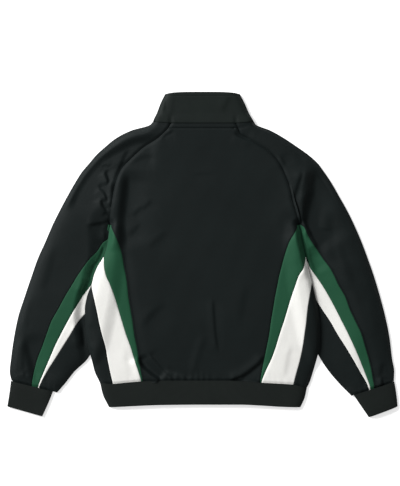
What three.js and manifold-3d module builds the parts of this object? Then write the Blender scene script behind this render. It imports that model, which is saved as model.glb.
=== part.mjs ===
// A track jacket laid flat, face down, with its back up. Millimetres, +Z up, +Y towards the collar.
// The ground is z = 0, and x = 0 is the line of the front zip. Every cut piece is its own wall of cloth,
// worked out from sections across the jacket at the heights in the tables below.
import * as THREE from "three";
import { mergeVertices } from "three/addons/utils/BufferGeometryUtils.js";
import Module from "manifold-3d";

// Walls and seams
const CLOTH = 1.5;
const RIB = 2.2;
const COLLAR_CLOTH = 2.6;
const SEAM_GAP = 0.3;
const HALF_GAP = SEAM_GAP / 2;

// Outer radius of the rounded folds along the garment's sides
const FOLD_RADIUS = 2.5;
const COLLAR_FOLD_RADIUS = 3.6;
const RIB_FOLD_RADIUS = 3.2;

// How high the flattened garment stands: at its folds, and at the crown of each stretch
const FOLD_HEIGHT = 2 * FOLD_RADIUS;
const BODY_CROWN = 15;
const NECK_CROWN = 15.5;
const HEM_CROWN = 12;
const CUFF_CROWN = 9.5;
const CROWN_REACH = 26;
const BAND_REACH = 12;
const PRESS_START = 14;
const PRESS_REACH = 30;

// Heights between which the crown changes: up to the neck, and down to the hem or the cuffs
const SHOULDER_Y = 180;
const SHOULDER_LENGTH = 135;
const WAIST_Y = -150;
const WAIST_LENGTH = 150;

// The body lies over the sleeves' inner edges, and is lifted clear of them
const OVER_SLEEVE_LIFT = FOLD_HEIGHT + 0.8;
const LIFT_MARGIN = 6;
const LIFT_RAMP = 34;
const LIFT_START = 72;
const LIFT_FULL = 59;

const ARMPIT_Y = 74;
const TIP_WIDTH = 1.6;
const FRONT_SEAM_INSET = 34;
const FRONT_SEAM_RAMP = 90;

// Where a seam meets a side fold it runs along it, this far above the fold's middle
const FOLD_SEAM_ANGLE = THREE.MathUtils.degToRad(25);

// Neck and collar
const NECK_HALF = { left: 119, right: 124 };
const NECK_Y = 315.4;
const NECK_END_RISE = 4.6;
const COLLAR_TOP_Y = 390.5;
const COLLAR_END_FALL = 4.5;
const FRONT_NECK_DROP = 45;
const FRONT_COLLAR_DROP = 48;

// Zip. The fronts rise beside it near the neck, to make room for the slider and its tab underneath.
const ZIP_EDGE = 6.5;
const ZIP_BOTTOM = -358;
const ZIP_LIFT = 2.2;
const ZIP_LIFT_Y = 225;
const ZIP_LIFT_LENGTH = 60;
const ZIP_LIFT_HALF = 42;
const ZIP_LIFT_RAMP = 30;
const TAPE = { inner: 2.4, outer: 15, thick: 0.7, bottom: 2.9 };
const CHAIN = { width: 4.4, thick: 2.2 };
const ZIP_Z = TAPE.bottom + TAPE.thick / 2;
const SLIDER = { top: 340, length: 12, width: 9, plate: 1, gap: 0.3, post: 3 };
const LUG = { width: 2.4, length: 4.4, bottom: 0.25, hole: 0.85 };
const HINGE = { y: SLIDER.top - 6, z: 1.75 };
const TAB = { width: 7, length: 28, thick: 1.2, pin: 0.55, fork: 3.1 };

const black = new THREE.MeshStandardMaterial({ color: 0x1c2122, roughness: 0.72, metalness: 0 });
const green = new THREE.MeshStandardMaterial({ color: 0x1c4a34, roughness: 0.7, metalness: 0 });
const white = new THREE.MeshStandardMaterial({ color: 0xe9e9e4, roughness: 0.75, metalness: 0 });
const rib = new THREE.MeshStandardMaterial({ color: 0x1f2425, roughness: 0.85, metalness: 0 });
const metal = new THREE.MeshStandardMaterial({ color: 0x2a2b2d, roughness: 0.35, metalness: 0.9 });

// Tables: a row for each height, with the distance of each seam or fold from the centre line there
const OUTLINE = {
  columns: ["y", "left", "right"],
  rows: [
    [320, NECK_HALF.left, NECK_HALF.right], [312, 126, 129], [308, 137, 139], [300, 168, 161],
    [280, 208, 197], [260, 233, 227], [240, 255, 255], [220, 272, 277], [200, 289, 292],
    [170, 308, 312], [140, 325, 329], [110, 341, 346], [74, 359, 364], [30, 378, 383], [-10, 396, 398],
    [-50, 410, 412], [-100, 427, 427], [-150, 443, 440], [-200, 453, 450], [-250, 460, 456],
    [-280, 463, 461], [-305, 458, 460],
  ],
};
const RAGLAN_LEFT = {
  columns: ["y", "back", "front"],
  rows: [
    [316, 75, 70], [305, 81, 74], [290, 95, 82], [276, 112, 96], [259, 140, 120], [247, 154, 138],
    [228, 174, 160], [205, 195, 180], [165, 210, 200], [132, 216, 211], [101, 220, 219], [74, 222, 222],
  ],
};
const RAGLAN_RIGHT = {
  columns: ["y", "back", "front"],
  rows: [
    [316, 80, 74], [305, 85, 78], [290, 92, 84], [276, 114, 98], [259, 143, 122], [247, 162, 142],
    [228, 179, 164], [205, 193, 182], [165, 208, 202], [132, 215, 212], [101, 224, 224], [74, 230, 230],
  ],
};
const BODY_LEFT = {
  columns: ["y", "fold", "side", "white", "green"],
  rows: [
    [74, 222, 230, 226, 222], [60, 224, 240, 230, 215], [30, 228, 262, 240, 201],
    [0, 236, 275, 237, 192], [-30, 253, 276, 235, 187], [-50, 261, 272, 230, 183],
    [-70, 266, 267, 221, 180], [-100, 277, 260, 210, 177], [-130, 282, 253, 201, 172],
    [-160, 281, 247, 192, 167], [-190, 279, 240, 183, 163], [-220, 274, 232, 172, 157],
    [-250, 266, 227, 163, 152], [-280, 259, 221, 153, 147], [-307, 246, 215, 146, 143],
    [-322, 240, 213, 145, 142],
  ],
};
const BODY_RIGHT = {
  columns: ["y", "fold", "side", "white", "green"],
  rows: [
    [74, 230, 245, 236, 230], [60, 234, 252, 240, 224], [30, 240, 265, 249, 207],
    [0, 247, 280, 248, 197], [-30, 254, 275, 242, 189], [-50, 259, 268, 230, 184],
    [-70, 264, 262, 223, 180], [-100, 271, 256, 213, 174], [-130, 277, 251, 204, 169],
    [-160, 281, 248, 195, 164], [-190, 282, 244, 185, 160], [-220, 281, 240, 176, 154],
    [-250, 274, 234, 165, 148], [-280, 266, 226, 151, 142], [-307, 257, 219, 141, 138],
    [-322, 249, 217, 139, 136],
  ],
};
const ARM_LEFT = {
  columns: ["y", "green", "white", "black", "inner"],
  rows: [
    [74, 223, 221, 220, 222], [60, 224, 220, 218, 221], [45, 225, 219, 217, 219],
    [37, 228, 219, 217, 218], [30, 238, 219, 216, 218], [10, 251, 225, 216, 219],
    [-10, 270, 238, 217, 220], [-30, 285, 248, 221, 223], [-50, 299, 257, 230, 225],
    [-70, 311, 266, 240, 228], [-100, 329, 288, 255, 233], [-130, 345, 306, 272, 239],
    [-160, 362, 323, 298, 245], [-190, 373, 339, 316, 252], [-220, 384, 354, 335, 260],
    [-250, 396, 367, 354, 276], [-280, 404, 380, 373, 307], [-310, 409, 392, 389, 331],
    [-330, 411, 398, 396, 349],
  ],
};
const ARM_RIGHT = {
  columns: ["y", "green", "white", "black", "inner"],
  rows: [
    [74, 233, 228, 227, 230], [67, 243, 229, 227, 230], [60, 247, 229, 227, 230],
    [45, 254, 229, 227, 229], [30, 263, 229, 226, 229], [10, 277, 236, 226, 230],
    [-10, 290, 250, 227, 231], [-30, 305, 258, 231, 233], [-50, 316, 272, 243, 235],
    [-70, 325, 286, 252, 238], [-100, 342, 304, 268, 243], [-130, 353, 320, 287, 248],
    [-160, 367, 335, 307, 254], [-190, 381, 350, 324, 261], [-220, 390, 364, 343, 269],
    [-250, 399, 377, 361, 284], [-280, 406, 389, 378, 304], [-310, 411, 400, 395, 330],
    [-340, 417, 408, 405, 361],
  ],
};
const HEM_SEAM = {
  columns: ["x", "y"],
  rows: [
    [-250, -306], [-215, -309], [-181, -306], [-145, -303], [-102, -301], [66, -301], [102, -303],
    [138, -306], [217, -311], [255, -321],
  ],
};
const HEM_FOLDS = {
  columns: ["along", "left", "right"],
  rows: [[0, 246, 251], [0.5, 239, 246], [1, 225, 236]],
};
const HEM_EDGE = {
  columns: ["x", "y"],
  rows: [
    [-226, -366], [-174, -363], [-102, -360], [0, -359], [90, -359], [138, -361], [186, -364], [237, -366],
  ],
};
const COLLAR_FOLDS = {
  columns: ["along", "left", "right"],
  rows: [
    [0, NECK_HALF.left, NECK_HALF.right], [0.1, 116.5, 120], [0.32, 109.5, 112], [0.68, 100.5, 101.5],
    [1, 90, 90.5],
  ],
};
// The cuffs' seam with the sleeve, and the two folds down each cuff, from that seam to the edge
const CUFF_LEFT = {
  seam: [[457, -303], [350, -330]],
  outer: [[460, -302.6], [464, -334], [469, -364]],
  inner: [[359, -327.7], [371, -358], [385, -388]],
};
const CUFF_RIGHT = {
  seam: [[460, -305], [352, -340]],
  outer: [[461, -304.7], [466, -334], [469, -364]],
  inner: [[363, -336.4], [379, -360], [400, -390.5]],
};

// The heights of the sections. The first rows fan out from the neck and the last ones to the hem or cuff.
const ROWS = [
  320, 306, 293, 280, 254, 228, 200, 168, 132, 100, 74,
  72, 65, 59, 50, 38, 24, 5, -5, -30, -60, -90, -125, -160, -195, -230, -262, -285, -320,
];
const TIP_ROW = ROWS.indexOf(72);
const BODY_WHITE_ROW = ROWS.indexOf(-5);
const ARM_WHITE_ROW = ROWS.indexOf(24);
const LAST_ROW = ROWS.length - 1;
const FAN_ROW = 3;
const FRONT_FAN_ROW = 5;
const END_FAN_ROW = ROWS.indexOf(-285);

// Where the neck's seam, and the hem's or a cuff's, are looked for
const NECK_SEARCH = { below: 8, top: 330 };
const END_SEARCH = { low: -350, high: -290 };

const clamp = THREE.MathUtils.clamp;
const mix = THREE.MathUtils.lerp;

function ease(value) {
  const t = clamp(value, 0, 1);
  return t * t * (3 - 2 * t);
}

// A smooth curve through one column of a table, with no overshoot between its rows
function curveOf(table, name) {
  const column = table.columns.indexOf(name);
  const points = table.rows.map((row) => [row[0], row[column]]);
  points.sort((a, b) => a[0] - b[0]);
  const slopes = points.slice(1).map((p, i) => (p[1] - points[i][1]) / (p[0] - points[i][0]));
  const tangents = points.map((p, i) => {
    if (i === 0) return slopes[0];
    if (i === points.length - 1) return slopes[i - 1];
    const [before, after] = [slopes[i - 1], slopes[i]];
    return before * after <= 0 ? 0 : (2 * before * after) / (before + after);
  });
  return (at) => {
    let i = points.findIndex((p) => p[0] >= at) - 1;
    if (i === -2) i = points.length - 2;
    i = Math.max(i, 0);
    const width = points[i + 1][0] - points[i][0];
    const t = clamp((at - points[i][0]) / width, 0, 1);
    const [a, b] = [points[i][1], points[i + 1][1]];
    return (
      a + t * width * tangents[i] +
      t * t * (3 * (b - a) - width * (2 * tangents[i] + tangents[i + 1])) +
      t * t * t * (2 * (a - b) + width * (tangents[i] + tangents[i + 1]))
    );
  };
}

// The distance from a place to a line of points
function polyline(points) {
  return (x, y) => {
    let nearest = Infinity;
    for (let i = 1; i < points.length; i++) {
      const [ax, ay] = points[i - 1];
      const [bx, by] = points[i];
      const length = (bx - ax) ** 2 + (by - ay) ** 2;
      const t = clamp(((x - ax) * (bx - ax) + (y - ay) * (by - ay)) / length, 0, 1);
      nearest = Math.min(nearest, Math.hypot(x - ax - t * (bx - ax), y - ay - t * (by - ay)));
    }
    return nearest;
  };
}

function polylinePair(first, second) {
  const [toFirst, toSecond] = [polyline(first), polyline(second)];
  return (x, y) => Math.min(toFirst(x, y), toSecond(x, y));
}

const hemSeam = curveOf(HEM_SEAM, "y");
const hemEdge = curveOf(HEM_EDGE, "y");

function neckShare(x) {
  return clamp(x / (x < 0 ? NECK_HALF.left : NECK_HALF.right), -1, 1);
}

function backNeck(x) {
  return NECK_Y + NECK_END_RISE * neckShare(x) ** 6;
}

function frontNeck(x) {
  return backNeck(x) - FRONT_NECK_DROP * (1 - neckShare(x) ** 2);
}

// One half of the jacket, with x counted away from the centre line. sign is -1 on the photo's left.
function makeHalf(sign, raglan, body, arm, cuff) {
  const side = sign < 0 ? "left" : "right";
  const outer = curveOf(OUTLINE, side);
  const foldTable = curveOf(body, "fold");
  const armpitX = foldTable(ARMPIT_Y);
  const innerTable = curveOf(arm, "inner");
  const half = { sign, side, outer, fold: foldTable, armpitX, cuff };

  // Just below the armpit the two folds lie side by side, and then the sleeve's slips under the body's
  half.inner = (y) => (y > LIFT_FULL ? foldTable(y) + 2 * HALF_GAP : innerTable(y));
  const pastFold = (curve) => (y) => Math.max(curve(y), half.inner(y) + FOLD_RADIUS + TIP_WIDTH);
  const backSeam = curveOf(raglan, "back");
  const frontSeam = curveOf(raglan, "front");
  const bodyGreen = curveOf(body, "green");
  const shortOfFold = (y) => Math.min(bodyGreen(y), half.fold(y) - FOLD_RADIUS - TIP_WIDTH);
  const inset = (y) => FRONT_SEAM_INSET * ease((ARMPIT_Y - y) / FRONT_SEAM_RAMP) + FOLD_RADIUS + TIP_WIDTH;
  half.greenSeam = (y) => (y >= ARMPIT_Y ? backSeam(y) : shortOfFold(y));
  half.whiteSeam = (y) => Math.max(curveOf(body, "white")(y), half.greenSeam(y) + TIP_WIDTH);
  half.sideSeam = curveOf(body, "side");
  half.frontSeam = (y) => (y >= ARMPIT_Y ? frontSeam(y) : half.fold(y) - inset(y));
  half.sleeveGreen = (y) => (y >= ARMPIT_Y ? backSeam(y) : pastFold(curveOf(arm, "green"))(y));
  half.sleeveWhite = (y) => Math.min(curveOf(arm, "white")(y), half.sleeveGreen(y) - TIP_WIDTH);
  half.sleeveBlack = (y) => Math.min(curveOf(arm, "black")(y), half.sleeveWhite(y) - TIP_WIDTH);
  half.sleeveFront = (y) => (y >= ARMPIT_Y ? frontSeam(y) : half.inner(y) + inset(y));

  const [[ax, ay], [bx, by]] = cuff.seam;
  half.cuffSeam = (x) => ay + ((x - ax) * (by - ay)) / (bx - ax);
  half.hemSeam = (x) => hemSeam(sign * x);
  half.backNeck = (x) => backNeck(sign * x);
  half.frontNeck = (x) => frontNeck(sign * x);

  const sample = (curve, rows) => rows.map((y) => [curve(y), y]);
  const above = ROWS.filter((y) => y >= ARMPIT_Y);
  const below = ROWS.filter((y) => y <= ARMPIT_Y);
  half.toOuter = polyline(sample(half.outer, ROWS));
  half.toOuterAbove = polyline(sample(half.outer, above));
  half.toFold = polyline(sample(half.fold, below));
  half.toInner = polyline(sample(half.inner, below));
  return half;
}

const LEFT = makeHalf(-1, RAGLAN_LEFT, BODY_LEFT, ARM_LEFT, CUFF_LEFT);
const RIGHT = makeHalf(1, RAGLAN_RIGHT, BODY_RIGHT, ARM_RIGHT, CUFF_RIGHT);

function halfAt(x) {
  return x < 0 ? LEFT : RIGHT;
}

function crown(height, distance) {
  const rise = 1 - Math.exp(-Math.max(distance - FOLD_RADIUS, 0) / CROWN_REACH);
  return FOLD_HEIGHT + (height - FOLD_HEIGHT) * rise;
}

function zipLift(x, y) {
  const along = ease((y - ZIP_LIFT_Y) / ZIP_LIFT_LENGTH);
  return ZIP_LIFT * along * ease((ZIP_LIFT_HALF - Math.abs(x)) / ZIP_LIFT_RAMP);
}

function bodyLow(x, y) {
  const half = halfAt(x);
  const edge = half.inner(Math.min(y, LIFT_FULL));
  const across = ease((Math.abs(x) - edge + LIFT_MARGIN + LIFT_RAMP) / LIFT_RAMP);
  const down = ease((LIFT_START - y) / (LIFT_START - LIFT_FULL));
  return OVER_SLEEVE_LIFT * across * down + zipLift(x, y);
}

function crownHeight(y, end) {
  if (y > SHOULDER_Y) return mix(BODY_CROWN, NECK_CROWN, ease((y - SHOULDER_Y) / SHOULDER_LENGTH));
  return mix(BODY_CROWN, end, ease((WAIST_Y - y) / WAIST_LENGTH));
}

function bodyTop(x, y) {
  const half = halfAt(x);
  const away = Math.abs(x);
  const distance = Math.min(half.toFold(away, y), half.toOuterAbove(away, y));
  const pressed = ease((Math.hypot(away - half.armpitX, y - ARMPIT_Y) - PRESS_START) / PRESS_REACH);
  const height = mix(FOLD_HEIGHT, crownHeight(y, HEM_CROWN), pressed);
  return crown(height, distance) + bodyLow(x, y) - zipLift(x, y);
}

function sleeveTop(x, y) {
  const half = halfAt(x);
  const away = Math.abs(x);
  const distance = Math.min(half.toOuter(away, y), half.toInner(away, y));
  const toArmpit = Math.hypot(away - half.armpitX, y - ARMPIT_Y);
  const beside = y > ARMPIT_Y ? toArmpit : away - half.fold(y);
  const pressed = ease((beside - PRESS_START) / PRESS_REACH);
  const height = mix(FOLD_HEIGHT, crownHeight(y, CUFF_CROWN), pressed);
  return crown(height, distance);
}

const BODY = { top: bodyTop, low: bodyLow, wall: CLOTH, radius: FOLD_RADIUS };
const SLEEVE = { top: sleeveTop, low: () => 0, wall: CLOTH, radius: FOLD_RADIUS };

// A station is one point on a piece's outer face with the point behind it on the inner face
function topStation(layer, [x, y]) {
  const z = layer.top(x, y);
  return { out: [x, y, z], in: [x, y, z - layer.wall] };
}

function lowStation(layer, [x, y]) {
  const z = layer.low(x, y);
  return { out: [x, y, z], in: [x, y, z + layer.wall] };
}

function towards(from, to, distance) {
  const length = Math.hypot(to[0] - from[0], to[1] - from[1]);
  return [0, 1].map((i) => from[i] + ((to[i] - from[i]) * distance) / length);
}

function between(a, b, share) {
  return [mix(a[0], b[0], share), mix(a[1], b[1], share)];
}

// A station on the round of a fold. A quarter turn up lies on the top sheet, and one down on the lower.
function arcStation(layer, edge, inward, angle) {
  const centre = [edge[0] + inward[0] * layer.radius, edge[1] + inward[1] * layer.radius];
  const top = layer.top(...centre);
  const low = layer.low(...centre);
  const middle = (top + low) / 2;
  const rise = (top - low) / 2;
  const at = (radius, height) => [
    centre[0] - inward[0] * radius * Math.cos(angle),
    centre[1] - inward[1] * radius * Math.cos(angle),
    middle + height * Math.sin(angle),
  ];
  return { out: at(layer.radius, rise), in: at(layer.radius - layer.wall, rise - layer.wall) };
}

// Stations from a fold's top sheet round to its lower one
function arcStations(layer, edge, inward, count) {
  const stations = [];
  for (let i = 0; i <= count; i++) {
    stations.push(arcStation(layer, edge, inward, mix(Math.PI / 2, -Math.PI / 2, i / count)));
  }
  return stations;
}

// Each row follows its seams at ROWS' heights, except the first ones, which fan out from the seam that
// the piece hangs on, and the last ones, which end on the hem's or the cuff's seam
function fanned(curve, row, start, end, fanRow = FAN_ROW) {
  if (start && row < fanRow) {
    const top = meeting(curve, start, ROWS[fanRow] - NECK_SEARCH.below, NECK_SEARCH.top);
    return pointAt(curve, mix(top - HALF_GAP, ROWS[fanRow], row / fanRow));
  }
  if (row > END_FAN_ROW) {
    const low = meeting(curve, end, END_SEARCH.low, END_SEARCH.high);
    const share = (row - END_FAN_ROW) / (LAST_ROW - END_FAN_ROW);
    return pointAt(curve, mix(ROWS[END_FAN_ROW], low + HALF_GAP, share));
  }
  return pointAt(curve, ROWS[row]);
}

function pointAt(curve, y) {
  return [curve(y), y];
}

// The height at which a seam that runs down the garment crosses a seam that runs across it
function meeting(curve, across, low, high) {
  let [a, b] = [low, high];
  for (let step = 0; step < 40; step++) {
    const middle = (a + b) / 2;
    if (across(curve(middle)) > middle) a = middle;
    else b = middle;
  }
  return (a + b) / 2;
}

// Points from a to b, set on the cross seam in the first and the last row
function run(a, b, count, row, start, end) {
  const points = [];
  for (let i = 0; i <= count; i++) {
    const point = between(a, b, i / count);
    if (start && row === 0) point[1] = start(point[0]) - HALF_GAP;
    if (row === LAST_ROW) point[1] = end(point[0]) + HALF_GAP;
    points.push(point);
  }
  return points;
}

function inwardNormal(curve, y, towardsCentre) {
  const slope = (curve(y + 2) - curve(y - 2)) / 4;
  const length = Math.hypot(1, slope);
  const flip = towardsCentre ? -1 : 1;
  return [flip / length, (-flip * slope) / length];
}

function mirrored(half, stations) {
  const place = ([x, y, z]) => [x * half.sign, y, z];
  return stations.map((s) => ({ out: place(s.out), in: place(s.in) }));
}

function worldLayer(half, layer) {
  return {
    ...layer,
    top: (x, y) => layer.top(half.sign * x, y),
    low: (x, y) => layer.low(half.sign * x, y),
  };
}

// A closed wall from rows of stations: outer face, inner face and the rims round its edges
function wallGeometry(rows, closed = false) {
  const across = rows[0].length;
  const positions = [];
  for (const face of ["out", "in"]) {
    for (const row of rows) for (const station of row) positions.push(...station[face]);
  }
  const layerSize = rows.length * across;
  const index = [];
  const quad = (a, b, c, d) => index.push(a, b, c, a, c, d);
  const columns = closed ? across : across - 1;
  for (let r = 0; r + 1 < rows.length; r++) {
    for (let c = 0; c < columns; c++) {
      const next = (c + 1) % across;
      const [a, b, d, e] = [r * across + c, r * across + next, (r + 1) * across + c, (r + 1) * across + next];
      quad(a, d, e, b);
      quad(a + layerSize, b + layerSize, e + layerSize, d + layerSize);
    }
  }
  for (let c = 0; c < columns; c++) {
    const next = (c + 1) % across;
    const end = (rows.length - 1) * across;
    quad(c, next, next + layerSize, c + layerSize);
    quad(end + c, end + c + layerSize, end + next + layerSize, end + next);
  }
  if (!closed) {
    for (let r = 0; r + 1 < rows.length; r++) {
      const [a, b] = [r * across, (r + 1) * across];
      quad(a, a + layerSize, b + layerSize, b);
      const last = across - 1;
      quad(a + last, b + last, b + last + layerSize, a + last + layerSize);
    }
  }
  return solidGeometry(positions, index);
}

function solidGeometry(positions, index) {
  let volume = 0;
  const at = (i) => new THREE.Vector3().fromArray(positions, 3 * i);
  for (let i = 0; i < index.length; i += 3) {
    volume += at(index[i]).dot(at(index[i + 1]).cross(at(index[i + 2])));
  }
  if (volume < 0) index.reverse();
  const geometry = new THREE.BufferGeometry();
  geometry.setAttribute("position", new THREE.Float32BufferAttribute(positions, 3));
  geometry.setIndex(index);
  geometry.computeVertexNormals();
  return geometry;
}

// The back panel lies between the two raglan seams, and lower down between the two green strips
function backPanel() {
  const rows = ROWS.map((_, row) => {
    const [left, right] = [LEFT, RIGHT].map((half) => {
      const [x, y] = fanned(half.greenSeam, row, half.backNeck, half.hemSeam);
      return [x * half.sign, y];
    });
    const a = towards(left, right, HALF_GAP);
    const b = towards(right, left, HALF_GAP);
    return run(a, b, 8, row, backNeck, hemSeam).map((point) => topStation(BODY, point));
  });
  return wallGeometry(rows);
}

function frontPanel(half) {
  const layer = worldLayer(half, BODY);
  const rows = ROWS.map((_, row) => {
    const seam = fanned(half.frontSeam, row, half.frontNeck, half.hemSeam, FRONT_FAN_ROW);
    const zip = fanned(() => ZIP_EDGE, row, half.frontNeck, half.hemSeam, FRONT_FAN_ROW);
    const points = run(towards(seam, zip, HALF_GAP), zip, 4, row, half.frontNeck, half.hemSeam);
    return mirrored(half, points.map((point) => lowStation(layer, point)));
  });
  return wallGeometry(rows);
}

// The raglan sleeve runs from its back seam over the outer fold to its front seam
function sleeve(half) {
  const layer = worldLayer(half, SLEEVE);
  const rows = ROWS.map((_, row) => {
    const edge = fanned(half.outer, row, half.backNeck, half.cuffSeam);
    const inward = inwardNormal(half.outer, edge[1], true);
    const centre = [edge[0] + inward[0] * FOLD_RADIUS, edge[1] + inward[1] * FOLD_RADIUS];
    const back = fanned(half.sleeveGreen, row, half.backNeck, half.cuffSeam);
    const front = fanned(half.sleeveFront, row, half.frontNeck, half.cuffSeam, FRONT_FAN_ROW);
    const upper = run(towards(back, centre, HALF_GAP), centre, 3, row, half.backNeck, half.cuffSeam);
    const lower = run(centre, towards(front, centre, HALF_GAP), 3, row, half.frontNeck, half.cuffSeam);
    return mirrored(half, [
      ...upper.slice(0, -1).map((point) => topStation(layer, point)),
      ...arcStations(layer, edge, inward, 4),
      ...lower.slice(1).map((point) => lowStation(layer, point)),
    ]);
  });
  return wallGeometry(rows);
}

// Positions along a section are counted from where its fold begins: less than 0 lies on the top sheet,
// up to half a turn lies round the fold, and more lies on the lower sheet
const HALF_TURN = Math.PI * FOLD_RADIUS;
const FOLD_SEAM = (Math.PI / 2 - FOLD_SEAM_ANGLE) * FOLD_RADIUS;

// Columns of stations stand this far apart on a sheet, and this many go round a fold
const COLUMN_WIDTH = 25;
const FOLD_COLUMNS = 4;

function columnsUpTo(position) {
  if (position < 0) return position / COLUMN_WIDTH;
  const round = (FOLD_COLUMNS * Math.min(position, HALF_TURN)) / HALF_TURN;
  return round + Math.max(position - HALF_TURN, 0) / COLUMN_WIDTH;
}

function positionAt(columns) {
  if (columns < 0) return columns * COLUMN_WIDTH;
  const round = (HALF_TURN * Math.min(columns, FOLD_COLUMNS)) / FOLD_COLUMNS;
  return round + Math.max(columns - FOLD_COLUMNS, 0) * COLUMN_WIDTH;
}

// A piece beside or round a fold, from a near seam on the top sheet to a far one. A seam that would pass
// the fold runs along it instead, and a far seam may lie on the lower sheet.
function foldPiece(half, baseLayer, { near, far, fold, end, firstRow, towardsCentre, farBelow, count }) {
  const layer = worldLayer(half, baseLayer);
  const rows = [];
  for (let row = firstRow; row <= LAST_ROW; row++) {
    const edge = fanned(fold, row, null, end);
    const inward = inwardNormal(fold, edge[1], towardsCentre);
    const centre = [edge[0] + inward[0] * FOLD_RADIUS, edge[1] + inward[1] * FOLD_RADIUS];
    const nearPoint = fanned(near, row, null, end);
    const farPoint = fanned(far, row, null, end);
    const reach = (point) => {
      const room = (point[0] - centre[0]) * Math.sign(inward[0]);
      const distance = Math.hypot(point[0] - centre[0], point[1] - centre[1]);
      return room > 0 ? -distance : Math.min(-room, FOLD_SEAM);
    };
    const from = reach(nearPoint) + HALF_GAP;
    const to = farBelow ? HALF_TURN - reach(farPoint) - HALF_GAP : reach(farPoint) - HALF_GAP;
    const stations = [];
    if (to < 0) {
      const first = towards(nearPoint, farPoint, HALF_GAP);
      const last = towards(farPoint, nearPoint, HALF_GAP);
      const points = run(first, last, count, row, null, end);
      stations.push(...points.map((point) => topStation(layer, point)));
    } else {
      for (let i = 0; i <= count; i++) {
        const position = positionAt(mix(columnsUpTo(from), columnsUpTo(to), i / count));
        if (position < 0) {
          const point = towards(centre, nearPoint, -position);
          stations.push(topStation(layer, point));
        } else if (position <= HALF_TURN) {
          stations.push(arcStation(layer, edge, inward, Math.PI / 2 - position / FOLD_RADIUS));
        } else {
          stations.push(lowStation(layer, towards(centre, farPoint, position - HALF_TURN)));
        }
      }
    }
    rows.push(mirrored(half, stations));
  }
  return wallGeometry(rows);
}

// A band that goes round the neck or the hips and opens at the zip. place(along, share, front) gives the
// point a share of the way across, from -1 at the left fold to 1 at the right one.
function openBand(layer, alongs, place, counts) {
  const rows = alongs.map((along) => {
    const runStations = (from, to, count, front) => {
      const stations = [];
      for (let i = 1; i < count; i++) {
        const point = place(along, mix(from, to, i / count), front);
        stations.push(front ? lowStation(layer, point) : topStation(layer, point));
      }
      return stations;
    };
    const zipShare = (sign) => {
      const width = Math.abs(place(along, sign, false)[0]);
      return (sign * ZIP_EDGE) / width;
    };
    const fold = (sign) => {
      const stations = arcStations(layer, place(along, sign, false), [-sign, 0], 5);
      return sign > 0 ? stations : stations.reverse();
    };
    const inset = (sign) => {
      const width = Math.abs(place(along, sign, false)[0]);
      return sign * (1 - layer.radius / width);
    };
    return [
      lowStation(layer, place(along, zipShare(-1), true)),
      ...runStations(zipShare(-1), inset(-1), counts.front, true),
      ...fold(-1),
      ...runStations(inset(-1), inset(1), counts.back, false),
      ...fold(1),
      ...runStations(inset(1), zipShare(1), counts.front, true),
      lowStation(layer, place(along, zipShare(1), true)),
    ];
  });
  return wallGeometry(rows);
}

// A band's top sheet rises from the height of its folds to its crown
function bandTop(radius, height, foldAt) {
  return (x, y) => {
    const distance = Math.max(foldAt(x, y) - Math.abs(x) - radius, 0);
    return mix(2 * radius, height, 1 - Math.exp(-distance / BAND_REACH));
  };
}

function collar() {
  const left = curveOf(COLLAR_FOLDS, "left");
  const right = curveOf(COLLAR_FOLDS, "right");
  const foot = NECK_Y + NECK_END_RISE;
  const foldAt = (x, y) => (x < 0 ? left : right)((y - foot) / (COLLAR_TOP_Y - COLLAR_END_FALL - foot));
  const top = bandTop(COLLAR_FOLD_RADIUS, NECK_CROWN, foldAt);
  const layer = { top, low: zipLift, wall: COLLAR_CLOTH, radius: COLLAR_FOLD_RADIUS };
  const place = (along, share, front) => {
    const x = share * (share < 0 ? left(along) : right(along));
    const seam = NECK_Y + NECK_END_RISE * share ** 6 + HALF_GAP;
    const edge = COLLAR_TOP_Y - COLLAR_END_FALL * share ** 4;
    const drop = front ? mix(FRONT_NECK_DROP, FRONT_COLLAR_DROP, along) * (1 - share ** 2) : 0;
    return [x, mix(seam, edge, along) - drop];
  };
  return openBand(layer, [0, 0.15, 0.5, 1], place, { front: 8, back: 12 });
}

function hemBand() {
  const left = curveOf(HEM_FOLDS, "left");
  const right = curveOf(HEM_FOLDS, "right");
  const foldAt = (x, y) => (x < 0 ? left : right)((y - hemSeam(x)) / (hemEdge(x) - hemSeam(x)));
  const top = bandTop(RIB_FOLD_RADIUS, HEM_CROWN, foldAt);
  const layer = { top, low: () => 0, wall: RIB, radius: RIB_FOLD_RADIUS };
  const place = (along, share) => {
    const fold = share < 0 ? left : right;
    return [share * fold(along), mix(hemSeam(share * fold(0)) - SEAM_GAP, hemEdge(share * fold(1)), along)];
  };
  return openBand(layer, [0, 0.5, 1], place, { front: 8, back: 16 });
}

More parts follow.
